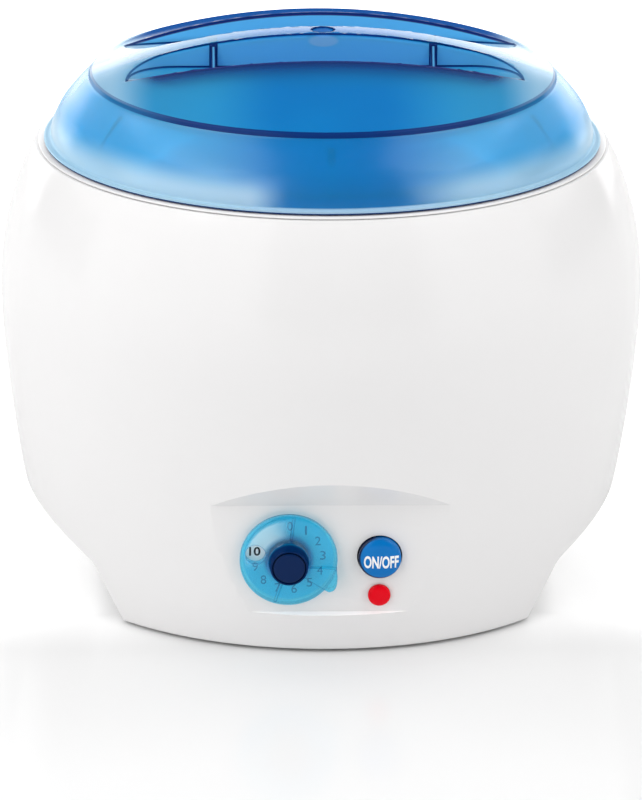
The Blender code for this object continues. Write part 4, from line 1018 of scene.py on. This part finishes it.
def knobMaterial():
    # painted shade round the hub, so paler towards the rim, with a painted sheen at its upper
    # left, and navy on the hub
    shade = Shade("knobBlue")
    tones = knobTones
    edge = shade.node("ShaderNodeAttribute", {"attribute_name": "edge"})["Fac"]
    cloud = shade.noise(90, 2)
    x, y, z = shade.axes()
    lean = math.radians(panel["lean"])
    across = x - panel["knob"][0] * mm
    up = (z - panel["z"] * mm) * math.cos(lean) - (y - panel["y"] * mm) * math.sin(lean)
    reach = (across * across + up * up) ** 0.5
    hub = reach.fade(5.95, 6.4, 1.0, 0.0)
    # painted shade: darker round the hub
    tone = shade.blend(reach.fade(6, 8.6), tones["shade"], tones["body"])
    # painted sheen: a pale patch at the upper left, on the knob's own axes
    sheen = ((up * 0.66 - across * 0.75) / reach.atLeast(mm)).ramp(
        0.5, 1.05) * reach.fade(6.5, 9) * reach.fade(12.8, 14, 1.0, 0.0)
    tone = shade.blend(sheen * 0.9, tone, tones["sheen"])
    tone = shade.blend(edge * 0.7, tone, tones["edge"])
    tone = shade.blend(hub, tone, tones["hub"])
    skin = shade.bump(shade.noise(200, 2), 0.03, 0.1 * mm)
    # painted shadow: the see-through tint is darker round the hub
    shadow = reach.fade(6, 8.2, 1.0, 0.0)
    amount = (hub * 0.8 + shadow * 0.15 + edge * 0.2 + sheen * 0.45 + 0.14).atMost(1.0)
    clear = shade.blend(shadow, tones["clear"], tones["clearShade"])
    return clearBlue(shade, tone, clear, amount, skin, cloud * 0.05 + 0.12, 1 - hub * 0.85)


def makeKnob():
    piece = turnPiece("knobSkirt", knob["profile"], 128)
    lever = smoothLine([(x * knob["radius"], y * knob["radius"]) for x, y in knob["lever"]], 3)
    place = move(z=knob["leverMiddle"])
    carve(piece, outlineBlock("lever", lever, knob["leverThickness"], place), "UNION")
    turn = math.radians(knob["windowAngle"])
    x, y = knob["windowRing"] * math.cos(turn), knob["windowRing"] * math.sin(turn)
    carve(piece, peg("window", knob["window"], -1, 8, move(x, y), 64))
    for angle in knob["pointerAngles"]:
        carve(piece, block("pointerGroove", *knob["pointer"], spin(angle, "Z")))
    markEdges(piece, knob["edgeRound"], 2, 40)
    settle(piece, panelPlace(*panel["knob"]))
    shadeSmooth(piece, 30)
    return dress(piece, "knob_blue", "knob", "knob", material=knobMaterial())


def makeKnobCap():
    piece = turnPiece("hubCap", knob["cap"], 64)
    settle(piece, panelPlace(*panel["knob"]))
    return dress(piece, "cap_navy", "knob", "knob_cap")


def numberInk():
    # the number in the knob's window is darkest
    shade = Shade("numberInk")
    fine = shade.noise(700, 4, 0.65)
    x, y, z = shade.axes()
    shown = x.fade(*dial["shownX"], 1.0, 0.0) * z.fade(*dial["shownZ"])
    tone = shade.blend(fine.ramp(0.3, 0.7), hue(52, 96, 136), hue(60, 104, 144))
    tone = shade.blend(shown, tone, hue(16, 18, 24))
    return shade.finish(Base_Color=tone, Roughness=fine * 0.1 + 0.45,
                        Normal=shade.bump(fine, 0.4, 0.01 * mm))


def makeDial():
    piece = turnPiece("dialDisc", dial["profile"], 96, ring=True)
    settle(piece, panelPlace(*panel["knob"]))
    dress(piece, "dial_white", "warmer", "dial_plate")
    numbers = []
    for value in range(11):
        angle = math.radians(dial["firstAngle"] - dial["stepAngle"] * value)
        width = dial["widths"].get(value, dial["width"])
        weight = 0.02 if value == 10 else 0.0
        number = letters(f"number{value}", str(value), dial["height"], width, weight)
        thicken(number, dial["ink"])
        place = (dial["ring"] * math.cos(angle), dial["ring"] * math.sin(angle), dial["face"])
        settle(number, panelPlace(*panel["knob"]) @ move(*place))
        numbers.append(number)
    makeActive(numbers[0])
    for number in numbers:
        number.select_set(True)
    bpy.ops.object.join()
    dress(named("dialNumbers"), "phenolic", "warmer", material=numberInk())


def domeLine(part, step):
    # a quarter of an oval, from the crown of a dome down to its side
    turns = [math.radians(angle) for angle in range(0, 91, step)]
    return [(part["radius"] * math.sin(turn), part["side"] + part["dome"] * math.cos(turn))
            for turn in turns]


def buttonHeight(x, y):
    # the dome's height above the panel at a place on the button, in mm
    share = min((x * x + y * y) / button["radius"] ** 2, 1.0)
    return button["side"] + button["dome"] * math.sqrt(1 - share)


def buttonMaterial():
    # painted shade: a dark rim on its left flank stands for the shade of the gap beside the cap
    shade = Shade("buttonBlue")
    drift = shade.noise(60, 2)
    x, y, z = shade.axes()
    shiftX, shiftUp = button["shadeFrom"]
    across = x - (panel["button"][0] + shiftX) * mm
    up = (z - panel["z"] * mm) * math.cos(math.radians(panel["lean"])) - shiftUp * mm
    # painted shade on the left flank, from a ring set a little to the right
    flank = ((across * across + up * up) ** 0.5).fade(6.1, 6.5)
    tone = shade.blend(drift.ramp(0.3, 0.7), hue(0, 118, 195), hue(0, 112, 189))
    tone = shade.blend(flank, tone, hue(8, 28, 66))
    skin = shade.bump(shade.noise(240, 2), 0.02, 0.1 * mm)
    return shade.finish(Base_Color=tone, Roughness=drift * 0.06 + 0.15, Normal=skin,
                        Specular_IOR_Level=0.2)


def makeButton():
    radius, foot = button["radius"], button["foot"]
    piece = turnPiece("buttonDome", [*domeLine(button, 6), (radius, foot + 0.2),
                                     (radius - 0.2, foot), (0, foot)], 96)
    carve(piece, peg("plungerSocket", button["socket"], foot - 2, foot + 2))
    settle(piece, panelPlace(*panel["button"]))
    shadeSmooth(piece, 40)
    dress(piece, "button_blue", "button", "button_cap", material=buttonMaterial())


def makeLabel():
    # the switch's words, laid on the dome of the button
    piece = letters("buttonLabel", button["label"], button["labelHeight"], button["labelWidth"],
                    0.03)
    editAll(piece)
    bpy.ops.mesh.remove_doubles(threshold=0.001 * mm)
    bpy.ops.mesh.quads_convert_to_tris()
    bpy.ops.mesh.subdivide(number_cuts=2)
    bpy.ops.object.mode_set(mode="OBJECT")
    thicken(piece, button["ink"])
    piece.data.transform(move(*button["labelPlace"]))
    for vertex in piece.data.vertices:
        vertex.co.z += buttonHeight(vertex.co.x / mm, vertex.co.y / mm) * mm - 0.01 * mm
    settle(piece, panelPlace(*panel["button"]))
    ink = grainy("labelInk", hue(250, 250, 250), 0.5, 700, 0.01, 0.95)
    dress(piece, "dial_white", "button", material=ink)


def makeLamp():
    radius, stem, end = lamp["radius"], lamp["stem"], lamp["stemFoot"]
    piece = turnPiece("lampDome", [*domeLine(lamp, 7), (radius, lamp["side"]),
                                   (radius, lamp["foot"]), (stem, lamp["foot"]), (stem, end),
                                   (0, end)], 64)
    settle(piece, panelPlace(*panel["lamp"]))
    shadeSmooth(piece, 40)
    dress(piece, "lamp_red", "warmer", "lamp_lens")


makeKnob()
makeKnobCap()
makeDial()
makeButton()
makeLabel()
makeLamp()
print("controls made")


# Studio: a pale floor, soft lights, and the camera where the photograph was taken

studio = {
    # the camera in mm and degrees, the lights in metres
    "distance": 2200, "height": 759.7, "swing": 2.2, "pitch": 17.0, "roll": 0.415,
    "focal": 7344.6, "aimBelow": 0.79, "pictureHeight": 800, "sensor": 36,
    "floorSize": 60, "floorTone": (0.80, 0.80, 0.80), "floorGloss": 0.06,
    "world": 0.5, "worldInGloss": 0.06,
    # name, azimuth, distance, low and high end, width, brightness
    "uprights": [("softLeft", -58, 1.6, 0.02, 2.2, 2.3, 1.1),
                 ("softRight", 62, 1.6, 0.02, 2.2, 1.5, 1.05),
                 ("rimLeft", -122, 1.7, 0.6, 1.6, 1.9, 0.75),
                 ("rimRight", 118, 1.7, 0.6, 1.6, 1.9, 0.75),
                 ("backPanel", 180, 2.4, 0.0, 0.85, 5.0, 2.0)],
    # name, place, aim, width, height, brightness
    "overheads": [("topFill", (0, -0.9, 2.0), (0, 0, 0.1), 1.4, 1.0, 0.3),
                  ("highLeft", (-1.25, 0.0, 1.9), (0, 0, 0.15), 2.6, 1.3, 1.5),
                  ("highRight", (1.25, 0.1, 1.9), (0, 0, 0.15), 2.4, 1.3, 1.5)],
    "glossOnly": ("rimLeft", "rimRight"), "withoutGloss": ("topFill",),
}


def makeFloor():
    deselectAll()
    bpy.ops.mesh.primitive_plane_add(size=studio["floorSize"], location=(0, 0, 0))
    floor = bpy.context.object
    floor.name = "studioFloor"
    bpy.ops.object.mode_set(mode="EDIT")
    bpy.ops.mesh.subdivide(number_cuts=3)
    bpy.ops.object.mode_set(mode="OBJECT")
    shade = Shade("floorWhite")
    cloud = shade.noise(3, 2)
    board = shade.node("ShaderNodeBsdfDiffuse", None, {"Color": studio["floorTone"]})
    sheen = shade.node("ShaderNodeBsdfGlossy", None,
                       {"Color": white, "Roughness": cloud * 0.04 + 0.1})
    base = shade.node("ShaderNodeMixShader", None,
                      {0: studio["floorGloss"], 1: board["BSDF"], 2: sheen["BSDF"]})

    # a glow that lights nothing, seen directly or through clear plastic, lifts the floor to
    # white away from the shadow at the foot
    path = shade.node("ShaderNodeLightPath")
    seen = path["Is Camera Ray"].atLeast(path["Is Transmission Ray"])
    x, y, z = shade.axes()
    side = x.size()
    reach = (x * x + y * y) ** 0.5
    clearOfFoot = reach.fade(80, 90).atLeast(side.fade(64, 74))
    given = y.fade(-85, -45) * 0.25 + y.fade(-220, -120, 0.04, 0.0) + side.fade(
        80, 150) * 0.35 + reach.fade(300, 900)
    glow = shade.node("ShaderNodeEmission", None,
                      {"Color": white, "Strength": seen * clearOfFoot * given})
    both = shade.node("ShaderNodeAddShader", None, {0: base["Shader"], 1: glow["Emission"]})
    floor.data.materials.append(shade.surface(both["Shader"]))


def makeLight(name, place, aim, width, height, radiance):
    # a soft light that the camera does not see; its brightness is that of its face
    light = bpy.data.lights.new(name, "AREA")
    light.shape = "RECTANGLE"
    light.size = width
    light.size_y = height
    light.energy = radiance * math.pi * width * height
    holder = bpy.data.objects.new(name, light)
    bpy.context.scene.collection.objects.link(holder)
    holder.location = place
    holder.rotation_euler = (Vector(aim) - Vector(place)).to_track_quat("-Z", "Y").to_euler()
    holder.visible_camera = False
    holder.visible_diffuse = name not in studio["glossOnly"]
    holder.visible_glossy = name not in studio["withoutGloss"]


def makeUpright(name, azimuth, distance, low, high, width, radiance):
    # azimuth in degrees, to the right of the camera's side
    turn = math.radians(azimuth)
    middle = (low + high) / 2
    place = (distance * math.sin(turn), -distance * math.cos(turn), middle)
    makeLight(name, place, (0, 0, middle), width, high - low, radiance)


def makeWorld():
    # white to the camera, dimmer as a light, and dimmer still in reflections
    shade = Shade("studioWorld", world=True)
    path = shade.node("ShaderNodeLightPath")
    strength = path["Is Glossy Ray"].ramp(0, 1, studio["world"], studio["worldInGloss"])
    given = shade.node("ShaderNodeBackground", None, {"Color": white, "Strength": strength})
    seen = shade.node("ShaderNodeBackground", None, {"Color": white, "Strength": 1.0})
    both = shade.node("ShaderNodeMixShader", None, {0: path["Is Camera Ray"],
                                                    1: given["Background"],
                                                    2: seen["Background"]})
    bpy.context.scene.world = shade.surface(both["Shader"])


def makeCamera():
    data = bpy.data.cameras.new("studioCamera")
    data.sensor_width = studio["sensor"]
    data.lens = studio["focal"] / studio["pictureHeight"] * studio["sensor"]
    data.clip_start = 0.05
    data.clip_end = 100
    camera = bpy.data.objects.new("studioCamera", data)
    bpy.context.scene.collection.objects.link(camera)
    place = spin(-studio["swing"], "Z") @ move(0, -studio["distance"], studio["height"])
    camera.matrix_world = (place @ spin(90 - studio["pitch"], "X") @ spin(studio["roll"], "Z")
                           @ spin(-studio["aimBelow"], "X"))
    bpy.context.scene.camera = camera


makeFloor()
makeWorld()
for upright in studio["uprights"]:
    makeUpright(*upright)
for overhead in studio["overheads"]:
    makeLight(*overhead)
makeCamera()
bpy.context.scene.view_settings.view_transform = "Standard"
print("studio made")
